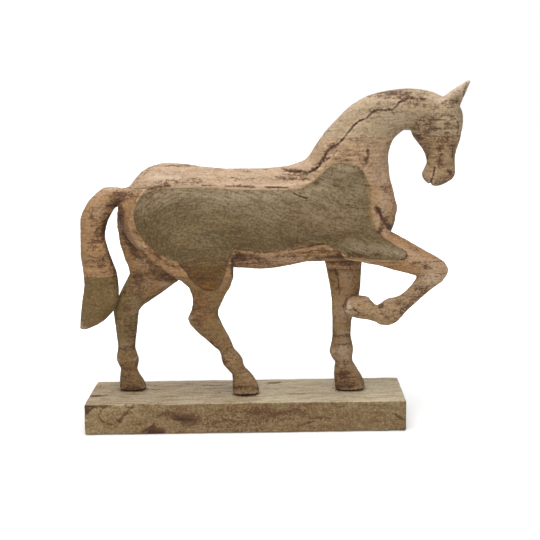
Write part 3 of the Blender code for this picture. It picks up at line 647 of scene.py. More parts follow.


# Where stain was left, and thin painted contact shadow at the hooves' feet, as (x, z, half length,
# half height, strength), and a turn in degrees where the spot lies aslant
STAINS_AND_HOOF_SHADOWS = {
    "tail": (
        (-150, 230, 15, 6, 0.5, 35), (-163, 213, 9, 6, 0.45, 50), (-158, 188, 12, 7, 0.35),
        (-156, 176, 12, 4, 0.3), (-156, 162, 9, 4, 0.4), (-146, 252, 13, 5, 0.55, 20),
        (-165, 232, 5, 18, 0.4, 8), (-152, 232, 8, 12, 0.35, 40), (-158, 185, 6, 8, 0.35, 10),
        (-148, 196, 3, 16, 0.5, 12), (-152, 222, 8, 5, 0.3, 30), (-166, 206, 5, 10, 0.3),
        (-144, 176, 4, 12, 0.4, 10), (-150, 214, 13, 24, 0.15, 10), (-142, 259, 16, 7, 0.2, 10),
        (-163, 198, 14, 20, 0.1)),
    "body and thighs": (
        (-135, 240, 4.5, 16, 0.85), (-134, 218, 5, 18, 0.6, 10), (-127, 203, 4, 12, 0.6, 30),
        (-120, 196, 4, 8, 0.5, 30), (-101, 182, 14, 5, 0.4, -40), (-84, 166, 14, 5, 0.4, -35),
        (-118, 158, 8, 8, 0.3), (-108, 158, 18, 5, 0.4, 20), (-4, 192, 8, 7, 0.75),
        (8, 189, 13, 4, 0.4), (-14, 182, 4.5, 14, 0.5, 10), (40, 178, 40, 5, 0.15),
        (58, 191, 24, 3, 0.35, 5), (20, 186, 16, 3, 0.3), (84, 196, 16, 3, 0.4, -5),
        (112, 189, 12, 4, 0.4), (-130, 145, 14, 10, 0.35), (-96, 269, 14, 2.5, 0.5),
        (-80, 276, 16, 3, 0.35), (-50, 277, 24, 2.5, 0.3), (0, 276, 40, 3, 0.2),
        (-134, 264, 12, 5, 0.35), (-104, 290, 12, 3, 0.3, 35), (-60, 293, 20, 1.6, 0.35),
        (-44, 205, 20, 9, 0.12, 10), (40, 222, 12, 16, 0.12), (108, 250, 14, 5, 0.2, -20),
        (96, 232, 5, 9, 0.25, 20), (-52, 172, 14, 3, 0.35), (-48, 165, 8, 2.5, 0.5, 10),
        (-90, 190, 14, 4, 0.3, -35), (-30, 185, 10, 4, 0.15), (-138, 258, 8, 6, 0.4),
        (-121, 166, 7, 9, 0.55), (-97, 171, 11, 5, 0.55, -20), (-126, 200, 4, 14, 0.4, 22),
        (-112, 196, 5, 8, 0.3, 40), (-120, 262, 6, 5, 0.2), (-84, 172, 10, 3, 0.4, -35),
        (-50, 166, 10, 3, 0.4), (-36, 168, 8, 4, 0.3), (-64, 180, 12, 5, 0.5, -35),
        (20, 183, 26, 3, 0.2), (86, 188, 20, 4, 0.3), (-112, 178, 26, 16, 0.12, -30),
        (-112, 146, 20, 12, 0.1), (-132, 258, 14, 6, 0.35, 20)),
    "hind legs": (
        # The thin spots at the hind hooves' feet, about z 38 to 39, are painted contact shadow
        (-138, 64, 6, 5, 0.45), (-136, 52, 6, 4, 0.4), (-134, 39, 16, 3.5, 0.55),
        (-132, 84, 14, 4, 0.35), (-5, 38, 20, 3, 0.55), (-28, 70, 8, 7, 0.4, -30),
        (-38, 94, 8, 8, 0.3, -30), (-12, 52, 8, 6, 0.25), (-48, 118, 6, 14, 0.2),
        (-132, 120, 7, 18, 0.3), (-134, 100, 8, 8, 0.3), (-28, 46, 8, 6, 0.3),
        (-137, 58, 7, 12, 0.25), (-56, 134, 6, 12, 0.3), (-52, 118, 8, 6, 0.35),
        (-42, 130, 16, 14, 0.14), (-46, 136, 14, 20, 0.35, 10), (-22, 80, 12, 12, 0.25)),
    "chest and forearm": (
        (150, 240, 3, 5, 0.5, -40), (158, 228, 4, 7, 0.6, -40), (164, 221, 6, 4, 0.6, -30),
        (164, 236, 6, 10, 0.25), (152.5, 217, 4, 3, 0.8, 20), (172, 210, 14, 2.5, 0.4, -30),
        (190, 196, 14, 3, 0.3, -30), (126, 232, 14, 7, 0.2, -20), (120, 196, 16, 5, 0.25),
        (150, 190, 14, 4, 0.15), (136, 190, 16, 4, 0.25)),
    "forelegs": (
        (104, 180, 24, 3.5, 0.45), (112, 171, 22, 3, 0.3), (104, 158, 5, 6, 0.2),
        (122, 156, 8, 6, 0.15), (104, 146, 5, 10, 0.2, 15), (128, 146, 6, 6, 0.35),
        (140, 160, 6, 8, 0.3), (196, 178, 14, 4, 0.3, -20), (112, 52, 5, 6, 0.6),
        # The thin spot at the fore hoof's foot, z 38.5, is painted contact shadow
        (110, 44, 8, 3, 0.4), (112, 87, 14, 2.5, 0.3), (112, 38.5, 18, 3, 0.6),
        (112, 96, 12, 3, 0.25), (112, 66, 10, 4, 0.3), (154, 131, 3.5, 3.5, 0.85, 30),
        (160, 124, 10, 6, 0.3), (178, 130, 8, 9, 0.4, 35), (172, 118, 8, 5, 0.35),
        (196, 150, 10, 5, 0.35, 30), (214, 170, 10, 4, 0.3, -30), (124, 126, 7, 7, 0.12),
        (136, 122, 10, 4, 0.3), (112, 50, 9, 9, 0.5), (124, 178, 14, 4, 0.25),
        (205, 177, 6, 3, 0.4, 60), (128, 132, 5, 4, 0.15, 30), (112, 98, 14, 2.5, 0.2),
        (112, 45, 14, 10, 0.35)),
    "neck": (
        (58, 277, 20, 4, 0.45, -5), (62, 283, 6, 5, 0.4), (88, 276, 12, 4, 0.3, 40),
        (116, 300, 16, 7, 0.35, 30), (134, 297, 10, 3, 0.3), (139.4, 305, 2.6, 5, 0.6, 10),
        (137.6, 295, 2.4, 3.2, 0.7, -15), (138, 316, 16, 8, 0.2), (158, 264, 8, 8, 0.3),
        (140, 270, 12, 20, 0.12), (100, 270, 8, 5, 0.2, 40), (166, 353, 26, 5, 0.35),
        (148, 345, 10, 6, 0.25, 35), (120, 318, 6, 14, 0.15, -40), (166, 330, 12, 6, 0.12, 10),
        (172, 368, 32, 7, 0.55, -3)),
    "head": (
        (206, 334, 9, 9, 0.45), (202, 352, 22, 5, 0.25, -5), (222, 343, 14, 3, 0.4),
        (219, 303, 4.5, 13, 0.35), (219, 290, 4, 5, 0.3), (233, 302, 2.4, 12, 0.4),
        (212, 285, 3, 3, 0.45), (230, 281, 4.5, 4, 0.55), (236, 276, 4, 3, 0.3),
        (230, 329, 9, 12, 0.4), (216, 322, 14, 10, 0.25), (200, 312, 8, 20, 0.3, 20),
        (236, 358, 4, 4, 0.6, 30), (226, 357, 8, 4, 0.3, 20), (216, 300, 16, 34, 0.12),
        (225, 272, 14, 8, 0.25), (206, 330, 12, 8, 0.25), (214, 340, 14, 5, 0.25),
        (226, 318, 8, 8, 0.3), (233, 345, 5, 8, 0.25), (220, 350, 12, 4, 0.2),
        (196, 322, 6, 10, 0.3, 30), (190, 356, 12, 6, 0.25)),
}

# Where the stain was sanded off to the wash, in the same way
WORN = {
    "tail": (
        (-160, 246, 12, 6, 0.35, 45),),
    "body and thighs": (
        (-114, 184, 8, 7, 0.4), (-88, 159, 12, 5, 0.4, -20), (-86, 280, 22, 7, 0.7, 5),
        (-122, 272, 8, 8, 0.3), (40, 186, 50, 5, 0.3), (-112, 160, 8, 4, 0.3),
        (10, 267, 90, 3, 0.6), (-60, 271, 50, 3, 0.4), (40, 187, 40, 8, 0.3)),
    "hind legs": (
        (-124, 130, 6, 16, 0.25), (-138, 88, 8, 6, 0.3)),
    "chest and forearm": (
        (196, 184, 30, 8, 0.45, -27), (158, 240, 9, 22, 0.35), (176, 195, 14, 6, 0.4, -28)),
    "forelegs": (
        (216, 170, 14, 12, 0.5), (120, 122, 8, 8, 0.2), (112, 98, 8, 8, 0.3),
        (178, 126, 10, 6, 0.2, 35), (112, 82, 10, 10, 0.4), (116, 68, 9, 6, 0.3),
        (112, 128, 12, 14, 0.3), (116, 166, 10, 14, 0.3), (208, 160, 14, 10, 0.3, 40)),
    "neck": (
        (156, 262, 12, 44, 0.35), (170, 340, 16, 12, 0.35), (60, 300, 14, 10, 0.3, 40),
        (130, 330, 22, 8, 0.25, 45), (150, 320, 20, 14, 0.2, 20)),
    "head": (
        (220, 358, 14, 5, 0.45, -20), (240, 366, 8, 10, 0.15, 50)),
}

# Other spots and lines of the same kind: grey wash, reddish wood, yellow sapwood, painted
# shade on the thigh and low on the flank, and orange heartwood
SHADES = {
    "wash": (
        (8, 258, 76, 8, 0.85), (-72, 257, 30, 6, 0.5, 12), (90, 240, 30, 16, 0.25),
        (20, 264, 88, 5.5, 0.9), (-62, 263, 40, 5, 0.6), (-110, 248, 8, 16, 0.6),
        (112, 284, 17, 9, 0.9), (96, 275, 14, 7, 0.8, 42), (124, 262, 18, 18, 0.45),
        (120, 234, 22, 14, 0.2), (60, 212, 30, 10, 0.2), (36, 236, 40, 12, 0.3),
        (140, 197, 30, 7, 0.7, -8), (166, 191, 18, 6, 0.9, -12), (172, 190, 16, 6, 0.4, -12),
        (-20, 248, 60, 8, 0.3), (-40, 214, 22, 16, 0.12), (85, 250, 22, 8, 0.2, -20)),
    "blush": (
        (-100, 160, 26, 13, 0.95, -10), (-112, 150, 12, 7, 0.5), (118, 162, 19, 18, 1.0),
        (116, 142, 8, 14, 0.5), (-20, 152, 9, 18, 0.7), (82, 234, 28, 16, 0.75),
        (100, 246, 22, 12, 0.5, -20), (114, 222, 24, 14, 0.6), (52, 240, 14, 14, 0.3),
        (-80, 216, 20, 12, 0.15), (14, 190, 20, 4, 0.3)),
    "gold": (
        (142, 252, 4.5, 15, 0.6), (146, 228, 4, 8, 0.5, -35), (100, 130, 5, 28, 0.9),
        (-138, 148, 12, 12, 0.35), (-150, 152, 8, 10, 0.4), (60, 203, 34, 5, 0.25, 4),
        (-40, 226, 40, 8, 0.2, 10), (-62, 204, 14, 7, 0.35, -30), (100, 206, 16, 8, 0.2)),
    # Painted shade: a darker honey tone on the thigh and low on the flank
    "deep": (
        (-104, 218, 20, 26, 0.75), (-70, 196, 40, 14, 0.6, -15), (-50, 172, 22, 14, 0.8),
        (-20, 190, 22, 12, 0.45), (-40, 158, 22, 9, 0.7), (20, 202, 50, 7, 0.4),
        (96, 208, 26, 10, 0.35, -8)),
    "amber": (
        (-40, 158.5, 10, 5, 1.0, 8), (-36, 156, 6, 5, 0.6), (-56, 166, 8, 4, 0.3),
        (-112, 180, 26, 16, 0.45, -35), (-128, 222, 8, 24, 0.35), (20, 188, 70, 7, 0.2),
        (113, 168, 18, 18, 0.6), (-34, 176, 26, 10, 0.25), (-50, 143, 8, 13, 0.8, 20),
        (-44, 128, 10, 14, 0.6), (-22, 78, 12, 14, 0.25), (141, 234, 3, 4, 0.6, 20),
        (52, 214, 6, 4, 0.25), (-22, 220, 8, 6, 0.2)),
}
SHADE_LINES = {
    "blush": (
        (RIM, 4.2, 0.8),),
    "gold": (
        (((76, 272.5), (86, 280.5), (95, 288), (103, 292.2), (110, 293.2)), 1.5, 0.9),
        (((145, 248), (144, 238), (147, 229), (151, 222)), 2.4, 0.8),
        (((-92, 262), (-100, 258), (-106, 250)), 1.4, 0.6)),
}


def every(groups):
    """The rows of all groups of a table, in one list."""
    return [row for rows in groups.values() for row in rows]


def painted(drawing, spots):
    """Soft spots laid over each other, from 0 to 1."""
    clear = np.ones(len(drawing.x))
    for x, z, length, height, strength, *turn in spots:
        clear *= 1 - strength * drawing.patch(x, z, length, height, *turn, edge=SPOT_EDGE)
    return 1 - clear


def flank_grain(drawing, points):
    """Where each point of a side board lies along and across its grain.

    The figure bends round the back of the thigh, runs level under the back, and
    streams down towards the forearm in front.
    """
    bent = within(-drawing.x, 66, 100)
    level = drawing.z - 214 + 0.36 * np.maximum(drawing.x + 30, 0)
    round_thigh = np.hypot(np.minimum(drawing.x + 66, 0), (drawing.z - 216) * 1.1)
    across = level + (round_thigh - level) * bent
    across = across + 2.0 * ripple(points, 60, 11) + 0.25 * ripple(points, 18, 12)
    along = drawing.x + (drawing.z - 214) * bent
    along = along + 4.0 * ripple(points, 40, 13)
    return np.stack((along, across, drawing.z), 1)


def stained_along(drawing, stain, line, width, strength, fade=0.08):
    """Lay a line of stain over what is there already."""
    distance, _, along = drawing.from_line(line)
    return 1 - (1 - stain) * (1 - strength * np.exp(-(distance / width) ** 2)
                              * ends(along, fade))


def finish_values(mesh, links, drawing):
    """Write down where stain stayed and shade is painted, where wood was sanded or is painted paler
    on top, its shades and its grain.
    """
    points = read_points(mesh)
    normals = read_normals(mesh)
    spacing = carving().cell
    fine = ((links.low_pass(points, FINE_WAVE, spacing, terms=20) - points) * normals).sum(1)
    broad = ((links.low_pass(points, BROAD_WAVE, spacing, terms=44) - points) * normals).sum(1)
    fine = links.average(fine[:, None])[:, 0]
    stain = painted(drawing, every(STAINS_AND_HOOF_SHADOWS))
    # The two wide, faint mane lines are painted shade below the groove; the rest stain the carved
    # lines
    carved_lines = ((MANE_EDGE, 1.5, 0.36), (MANE_EDGE, 3.6, 0.08), (MANE_EDGE[:13], 2.4, 0.42),
                    (MANE_EDGE[:13], 4.5, 0.05), (CHEST_FOLD, 2.5, 0.55),
                    (MOUTH, 0.9, 0.6), (EYE_ARC, 0.9, 0.55), (EAR_FRONT, 1.1, 0.5),
                    (TWISTED_LINE, 0.8, 0.5))
    for line, width, strength in (*carved_lines, *every(STAINED_LINES)):
        stain = stained_along(drawing, stain, line, width, strength)
    stain = stained_along(drawing, stain, RIM_HOLLOW, 3.6, 0.5, 0.5)
    for seam in SEAMS[Z]:
        by_seam = np.exp(-((points[:, 2] - seam) / 0.55) ** 2)
        stain += 0.45 * by_seam * within(ripple(points, 30, 15), -0.8, 0.7)
    stain += 0.2 * within(fine, 0.03, 0.30) + 0.5 * within(broad, 0.2, 1.6)
    wear = within(-fine, 0.02, 0.16) * 0.7 + within(-broad, 0.2, 1.2) * 0.5
    # Painted light from above as well as wear: surfaces facing up on back and croup are laid paler
    wear += 0.6 * within(normals[:, 2], 0.15, 0.8) * within(points[:, 2], 235, 275)
    wear += painted(drawing, every(WORN))
    # Painted shade: surfaces that face down are laid darker
    stain += 0.24 * within(-normals[:, 2], 0.15, 0.9)
    # Painted shade: the legs darken towards their sideways edges, below the belly
    stain += 0.26 * within(np.abs(normals[:, 0]), 0.45, 0.95) * within(-points[:, 2], -240, -215)
    # Painted contact shadow: a dark line round each hoof's foot at the plinth's top
    stain += 0.9 * np.exp(-((points[:, 2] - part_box("plinth")[1][2] / MM) / 1.6) ** 2)
    write_value(mesh, "stain", stain.clip(0, 1))
    write_value(mesh, "wear", (wear * (1 - 0.8 * stain)).clip(0, 1))
    for name, patches in SHADES.items():
        value = painted(drawing, patches)
        for line, width, strength in SHADE_LINES.get(name, ()):
            value = stained_along(drawing, value, line, width, strength)
        write_value(mesh, name, value)
    grain = mesh.attributes.new("grain", "FLOAT_VECTOR", "POINT")
    grain.data.foreach_set("vector", flank_grain(drawing, points).astype(np.float32).ravel())


def carve(block):
    """Smooth, carve and mark out one glued-up block."""
    mesh = block.data
    links = Links(mesh)
    write_points(mesh, softened(mesh, links))
    points = read_points(mesh)
    normals = read_normals(mesh)
    drawing = Drawing.of_flank(points)
    points += normals * carved(drawing, points, normals)[:, None]
    points[:, 1] += np.sign(points[:, 1]) * settled_flank(drawing, points)
    points[:, 2] -= lowered_ears(points)
    write_points(mesh, points)
    finish_values(mesh, links, drawing)


SOCKETS = {"specular": "Specular IOR Level"}
SHEEN = 0.2


class Wire:
    """One output of a material's nodes, with Math nodes behind Python's operators."""

    def __init__(self, finish, socket):
        self.finish = finish
        self.socket = socket

    def math(self, operation, first, second, clamp=False):
        return self.finish.node("ShaderNodeMath", {"operation": operation, "use_clamp": clamp},
                                {0: first, 1: second})

    def __add__(self, other):
        return self.math("ADD", self, other)

    def __radd__(self, other):
        return self.math("ADD", other, self)

    def __sub__(self, other):
        return self.math("SUBTRACT", self, other)

    def __rsub__(self, other):
        return self.math("SUBTRACT", other, self)

    def __mul__(self, other):
        return self.math("MULTIPLY", self, other)

    def __rmul__(self, other):
        return self.math("MULTIPLY", other, self)

    def clamped(self):
        return self.math("ADD", self, 0.0, clamp=True)

    def step(self, low, high):
        """A soft step from 0 at low to 1 at high."""
        return self.finish.node("ShaderNodeMapRange", {"interpolation_type": "SMOOTHSTEP"},
                                {"Value": self, "From Min": low, "From Max": high})

    def ridge(self, width):
        """Thin lines: 1 where a noise has its middle value, falling to 0 at a width off it."""
        return 1 - self.math("ABSOLUTE", self - 0.5, 0.0).step(0.0, width)


class Finish:
    """The nodes of a material or of the world, and the one way in which they are added."""

    def __init__(self, holder, seed=0, ground=None):
        holder.use_nodes = True
        self.holder = holder
        self.tree = holder.node_tree
        self.seed = seed
        self.body = ground

    def node(self, kind, settings, sockets, output=0):
        made = self.tree.nodes.new(kind)
        for key, value in settings.items():
            setattr(made, key, value)
        for key, value in sockets.items():
            self.plug(made.inputs[key], value)
        return Wire(self, made.outputs[output])

    def plug(self, socket, value):
        if isinstance(value, Wire):
            self.tree.links.new(value.socket, socket)
        else:
            socket.default_value = value

    def lay(self, share, colour):
        """Lay a share of a colour over the body's colour so far."""
        self.body = self.mix(share, self.body, colour)

    def surface(self, **sockets):
        """Set or link the sockets of the material's shader, its base colour from the body."""
        shader = self.tree.nodes["Principled BSDF"]
        self.plug(shader.inputs["Base Color"], self.colour(self.body))
        for name, value in sockets.items():
            self.plug(shader.inputs[SOCKETS.get(name, name.replace("_", " ").title())], value)
        return self.holder

    def seen(self):
        """1 where the camera, or a shiny or clear surface, looks straight at this."""
        path = self.node("ShaderNodeLightPath", {}, {}, "Is Camera Ray")
        outputs = path.socket.node.outputs
        shiny = Wire(self, outputs["Is Glossy Ray"])
        clear = Wire(self, outputs["Is Transmission Ray"])
        return (path + shiny + clear).clamped()

    def value(self, name):
        """A number kept for each vertex."""
        return self.node("ShaderNodeAttribute", {"attribute_name": name}, {}, "Fac")

    def place(self, size, shift=0.0, grain=False):
        """Object coordinates, or those along the grain, in cells of a size in millimetres."""
        unit = 1.0 if grain else MM
        cells = tuple(1 / (unit * length) for length in size)
        moved = tuple(self.seed * 7.3 + shift + 3.1 * k for k in range(3))
        if grain:
            where = self.node("ShaderNodeAttribute", {"attribute_name": "grain"}, {}, "Vector")
        else:
            where = self.node("ShaderNodeTexCoord", {}, {}, "Object")
        return self.node("ShaderNodeVectorMath", {"operation": "MULTIPLY_ADD"},
                         {0: where, 1: cells, 2: moved})

    def noise(self, size, detail=2.0, roughness=0.5, distortion=0.0, shift=0.0, grain=False):
        return self.node("ShaderNodeTexNoise", {},
                         {"Vector": self.place(size, shift, grain), "Scale": 1.0,
                          "Detail": detail, "Roughness": roughness, "Distortion": distortion},
                         "Fac")

    def mix(self, share, first, second, blend="MIX"):
        """One colour laid over another."""
        return self.node("ShaderNodeMix", {"data_type": "RGBA", "blend_type": blend},
                         {0: share, 6: self.colour(first), 7: self.colour(second)}, 2)

    @staticmethod
    def colour(value):
        return value if isinstance(value, Wire) else (*value, 1.0)

    def bump(self, height, distance):
        return self.node("ShaderNodeBump", {}, {"Strength": 1.0, "Distance": distance * MM,
                                                "Height": height}, "Normal")


def shade(colour, factor):
    return tuple(part * factor for part in colour)


def new_finish(name, ground, seed=0):
    return Finish(bpy.data.materials.new(name), seed, ground)


def washed_wood(name, ground, seed, flecks, stained, lined):
    """Whitewashed wood, sanded back, with brown stain in its pores and hollows, and painted shade
    and light.
    """
    tone = colours()
    wood = new_finish(name, ground, seed)
    stain = wood.value("stain") + stained
    wear = wood.value("wear")
    cloud = wood.noise((34, 30, 16), 2)
    patchy = wood.noise((22, 16, 9), 2, 0.5, 0.5, 41)
    blot = wood.noise((10, 8, 4.5), 3, 0.62, 0.7, 47)
    streak = wood.noise((26, 8, 2.8), 3, 0.6, 0.25)
    line = wood.noise((17, 6, 2.0), 1, 0.5, 0.2, 33)
    curl = wood.noise((9, 6, 5.0), 2, 0.55, 1.3, 11)
    speck = wood.noise((2.8, 2.5, 2.2), 1.5, 0.6, 0.3, 23)
    fleck = wood.noise((9, 4, 2.1), 2, 0.5, 0.4, 57)
    wood.lay((cloud * 1.8 - 0.4).clamped(), shade(ground, 0.78))
    wood.lay(wood.value("blush") * 0.9, shade(tone.russet, 0.82))
    wood.lay(wood.value("gold") * 0.7, tone.gold)
    wood.lay(wood.value("amber") * 0.8, tone.amber)
    wood.lay((wear * 0.9 + (patchy - 0.5) * wear).clamped(), tone.cream)
    wood.lay(blot.step(0.50, 0.66) * (0.42 - wear * 0.2), shade(ground, 0.50))
    wood.lay(streak.step(0.48, 0.66) * (0.42 - wear * 0.2) * lined, shade(ground, 0.46))
    wood.lay((1 - streak).step(0.52, 0.68) * (0.36 - wear * 0.14) * lined, shade(ground, 1.55))
    wood.lay(line.step(0.50, 0.66) * (0.30 - wear * 0.12) * lined, shade(ground, 0.48))
    wood.lay(speck.step(0.48, 0.66) * (0.34 - wear * 0.1), shade(ground, 0.38))
    wood.lay((1 - speck).step(0.54, 0.70) * 0.26, shade(ground, 1.55))
    rough = (blot - 0.5) * (2.5 - 0.8 * lined) + (streak - 0.5) * 1.9 * lined
    rough = rough + (speck - 0.5) * 1.7
    brown = (stain * 1.5 + rough + (patchy - 0.5) * 0.8).step(0.26, 1.35) * 0.95
    wood.lay(brown, tone.umber)
    gate = (stain * 1.7 + (patchy - 0.5) * 2.2 - wear * 0.2).clamped() * flecks
    worm = curl.ridge(0.030) * gate
    wood.lay(worm * 0.85, shade(tone.umber, 0.7))
    dash = fleck.step(0.60, 0.68) * (0.22 + stain * 1.1) * flecks
    wood.lay(dash.clamped(), tone.umber)
    pits = (stain * 1.1 + rough * 0.6).step(0.85, 1.30)
    wood.lay(pits * 0.8, tone.black)
    return wood.surface(
        roughness=0.72 - brown * 0.12, specular=SHEEN,
        normal=wood.bump(streak * 0.5 + speck * 0.3 - worm * 0.6 - pits * 0.4, 0.22))


def olive_wood(name, ground, seed):
    """Waxed grey-olive wood, with a fine streaming figure, and painted shade on the thigh and low
    on the flank.
    """
    tone = colours()
    wood = new_finish(name, shade(ground, 1.2), seed)
    stain = wood.value("stain")
    amber = wood.value("amber")
    wash = wood.value("wash")
    cloud = wood.noise((44, 20, 24), 2)
    warm = wood.noise((40, 36, 30), 2, 0.5, 0.3, 5)
    figure = wood.noise((42, 6.5, 60), 2, 0.5, 0.4, 9, grain=True)
    stroke = wood.noise((9, 1.7, 30), 1.5, 0.5, 0.15, 17, grain=True)
    ring = wood.noise((70, 11, 60), 1, 0.5, 0.3, 71, grain=True).ridge(0.022)
    speck = wood.noise((2.8, 2.5, 2.3), 1.5, 0.6, 0, 23)
    dots = wood.noise((4.2, 3.0, 2.4), 1, 0.5, 0.6, 61)
    wood.lay((cloud * 2.2 - 0.6).clamped(), shade(ground, 0.80))
    wood.lay(wood.value("blush") * 0.9 * (cloud + 0.35), shade(tone.pink, 0.76))
    wood.lay(wood.value("gold") * 0.8, tone.gold)
    wood.lay((wash * 0.8 + (cloud - 0.5) * wash).clamped(), tone.mist)
    wood.lay(warm.step(0.45, 0.65) * 0.4 * (1 - wash * 0.6), tone.honey)
    # Painted shade from the deep value: a darker honey tone on the thigh and low on the flank
    wood.lay(wood.value("deep") * 0.75, shade(tone.honey, 0.95))
    wood.lay((amber * 0.9 + (figure - 0.5) * amber).clamped(), tone.amber)
    wood.lay(figure.step(0.44, 0.64) * 0.36, shade(ground, 0.55))
    wood.lay(stroke.step(0.48, 0.64) * 0.42, shade(ground, 0.42))
    wood.lay((1 - stroke).step(0.53, 0.68) * 0.17, shade(ground, 2.0))
    wood.lay(speck.step(0.48, 0.66) * 0.46, shade(ground, 0.36))
    wood.lay((1 - speck).step(0.54, 0.70) * 0.24, shade(ground, 2.1))
    wood.lay(ring * (warm - 0.25).clamped() * 0.9, tone.umber)
    held = stain * 1.3 + (figure - 0.5) * 0.9 + (speck - 0.5) * 1.0 + (stroke - 0.5) * 0.9
    wood.lay(held.step(0.30, 0.98) * 0.88, tone.umber)
    wood.lay(dots.step(0.60, 0.68) * 0.45, tone.umber)
    wood.lay((stain * 1.25 + (speck - 0.5) * 0.6).step(0.85, 1.15), tone.black)
    return wood.surface(
        roughness=0.62 + (speck - 0.5) * 0.1, specular=SHEEN / 2,
        normal=wood.bump(figure * 0.4 + speck * 0.25 - stroke * 0.4, 0.16))


def plinth_wood(name, seed):
    """Light grey-olive block, curled and streaked with brown, matt, with painted shadow round the
    hooves and a top painted paler, partly as light from above.
    """
    tone = colours()
    wood = new_finish(name, tone.ash, seed)
    stain = wood.value("stain")
    wear = wood.value("wear")
    amber = wood.value("amber")
    curls = wood.value("curls")
    cloud = wood.noise((60, 30, 22), 2)
    streak = wood.noise((48, 5, 4.4), 3, 0.6, 0.3)
    line = wood.noise((26, 3.2, 2.3), 2, 0.5, 0.2, 31)
    fiddle = wood.noise((2.7, 6, 9), 1.5, 0.5, 0.9, 9)
    curl = wood.noise((13, 9, 7), 1.5, 0.5, 1.6, 13)
    blot = wood.noise((16, 10, 6), 3, 0.6, 0.8, 47)
    speck = wood.noise((2.5, 2.5, 2.2), 1.5, 0.6, 0.4, 23)
    wood.lay((cloud * 2.0 - 0.5).clamped() * (1 - curls * 0.5), shade(tone.ash, 0.74))
    wood.lay(curls * (1 - amber) * 0.5, shade(tone.ash, 1.35))
    wood.lay((wear * 0.9 + (cloud - 0.5) * wear).clamped(), tone.chalk)
    wood.lay((amber * 0.7 + (blot - 0.5) * amber * 2.0).clamped(), tone.bark)
    wood.lay(blot.step(0.48, 0.64) * (0.62 - wear * 0.4), tone.bark)
    plain = (1 - amber * 0.7 - curls * 0.5 - wear * 0.4).clamped()
    wood.lay(streak.step(0.46, 0.66) * plain * 0.60, tone.bark)
    wood.lay((1 - streak).step(0.54, 0.70) * plain * 0.40, shade(tone.ash, 1.45))
    wood.lay(line.step(0.50, 0.66) * plain * 0.42, shade(tone.bark, 0.7))
    wood.lay(fiddle.step(0.47, 0.62) * amber * 0.45, shade(tone.bark, 0.6))
    wood.lay((1 - fiddle).step(0.53, 0.66) * amber * 0.28, shade(tone.ash, 1.1))
    wood.lay(curl.ridge(0.03) * curls * 0.4, shade(tone.bark, 0.5))
    wood.lay(speck.step(0.46, 0.64) * (0.42 - wear * 0.14), shade(tone.bark, 0.7))
    wood.lay((1 - speck).step(0.52, 0.68) * 0.26, shade(tone.ash, 1.6))
    held = stain * 2.1 + (blot - 0.5) * 1.1 + (line - 0.5) * 0.9 + (speck - 0.5) * 1.5
    wood.lay(held.step(0.32, 1.25) * 0.88, tone.umber)
    wood.lay((stain + (speck - 0.5) * 0.9).step(0.60, 0.98) * 0.8, tone.black)
    return wood.surface(
        roughness=0.70 + (speck - 0.5) * 0.1, specular=SHEEN,
        normal=wood.bump(streak * 0.5 + speck * 0.4, 0.2))


def screw_steel(name):
    """Turned steel, faintly ringed and dulled."""
    tone = colours().steel
    steel = new_finish(name, tone)
    smudge = steel.noise((3, 3, 3), 3)
    ring = steel.noise((40, 40, 0.25), 2)
    steel.lay(smudge.step(0.4, 0.7) * 0.4, shade(tone, 0.7))
    return steel.surface(roughness=0.32 + smudge * 0.2, metallic=1.0,
                         normal=steel.bump(ring, 0.03))


def cut_out(mesh, bounds, node=None):
    """A closed part of a solid within bounds: its axis, place and outward side each."""
    bm = bmesh.new()
    bm.from_mesh(mesh)
    for axis, place, sign in bounds:
        saw(bm, axis, place - sign * HAIRLINE, sign)
    if node:
        keep_island_of(bm, node)
    return mesh_of(bm, node or "cut")


def fit_piece(mesh, node, material):
    """Let a mesh stand for a node of the frame."""
    mesh.materials.clear()
    mesh.materials.append(material)
    piece = new_object(f"{node}_carved", mesh)
    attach(piece, "root")
    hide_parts(node)


def discard(piece):
    mesh = piece.data
    bpy.data.objects.remove(piece)
    bpy.data.meshes.remove(mesh)


class HORSE_OT_glue_up(bpy.types.Operator):
    """Glue the frame's boards up into the block that the horse is carved from"""

    bl_idname = "horse.glue_up"
    bl_label = "Glue up the block"

    def execute(self, context):
        cell = carving().cell
        boards = [board_of_frame(name) for name in (*BOARDS, *SIDE_BOARDS)]
        boards.append(board_of_frame("right_fore_shank", X, KNEE_FROM, -1))
        glued_up("carved_block", boards, cell)
        leg = [board_of_frame("trunk_board", X, SHOULDER_FROM, -1),
               board_of_frame("right_side_board", X, SHOULDER_FROM, -1),
               board_of_frame("right_fore_shank")]
        glued_up("lifted_leg", leg, cell)
        return {"FINISHED"}


class HORSE_OT_carve(bpy.types.Operator):
    """Smooth the block and carve mane, face, rims and grooves into it"""

    bl_idname = "horse.carve"
    bl_label = "Carve the block"

    def execute(self, context):
        carve(bpy.data.objects["carved_block"])
        carve(bpy.data.objects["lifted_leg"])
        return {"FINISHED"}


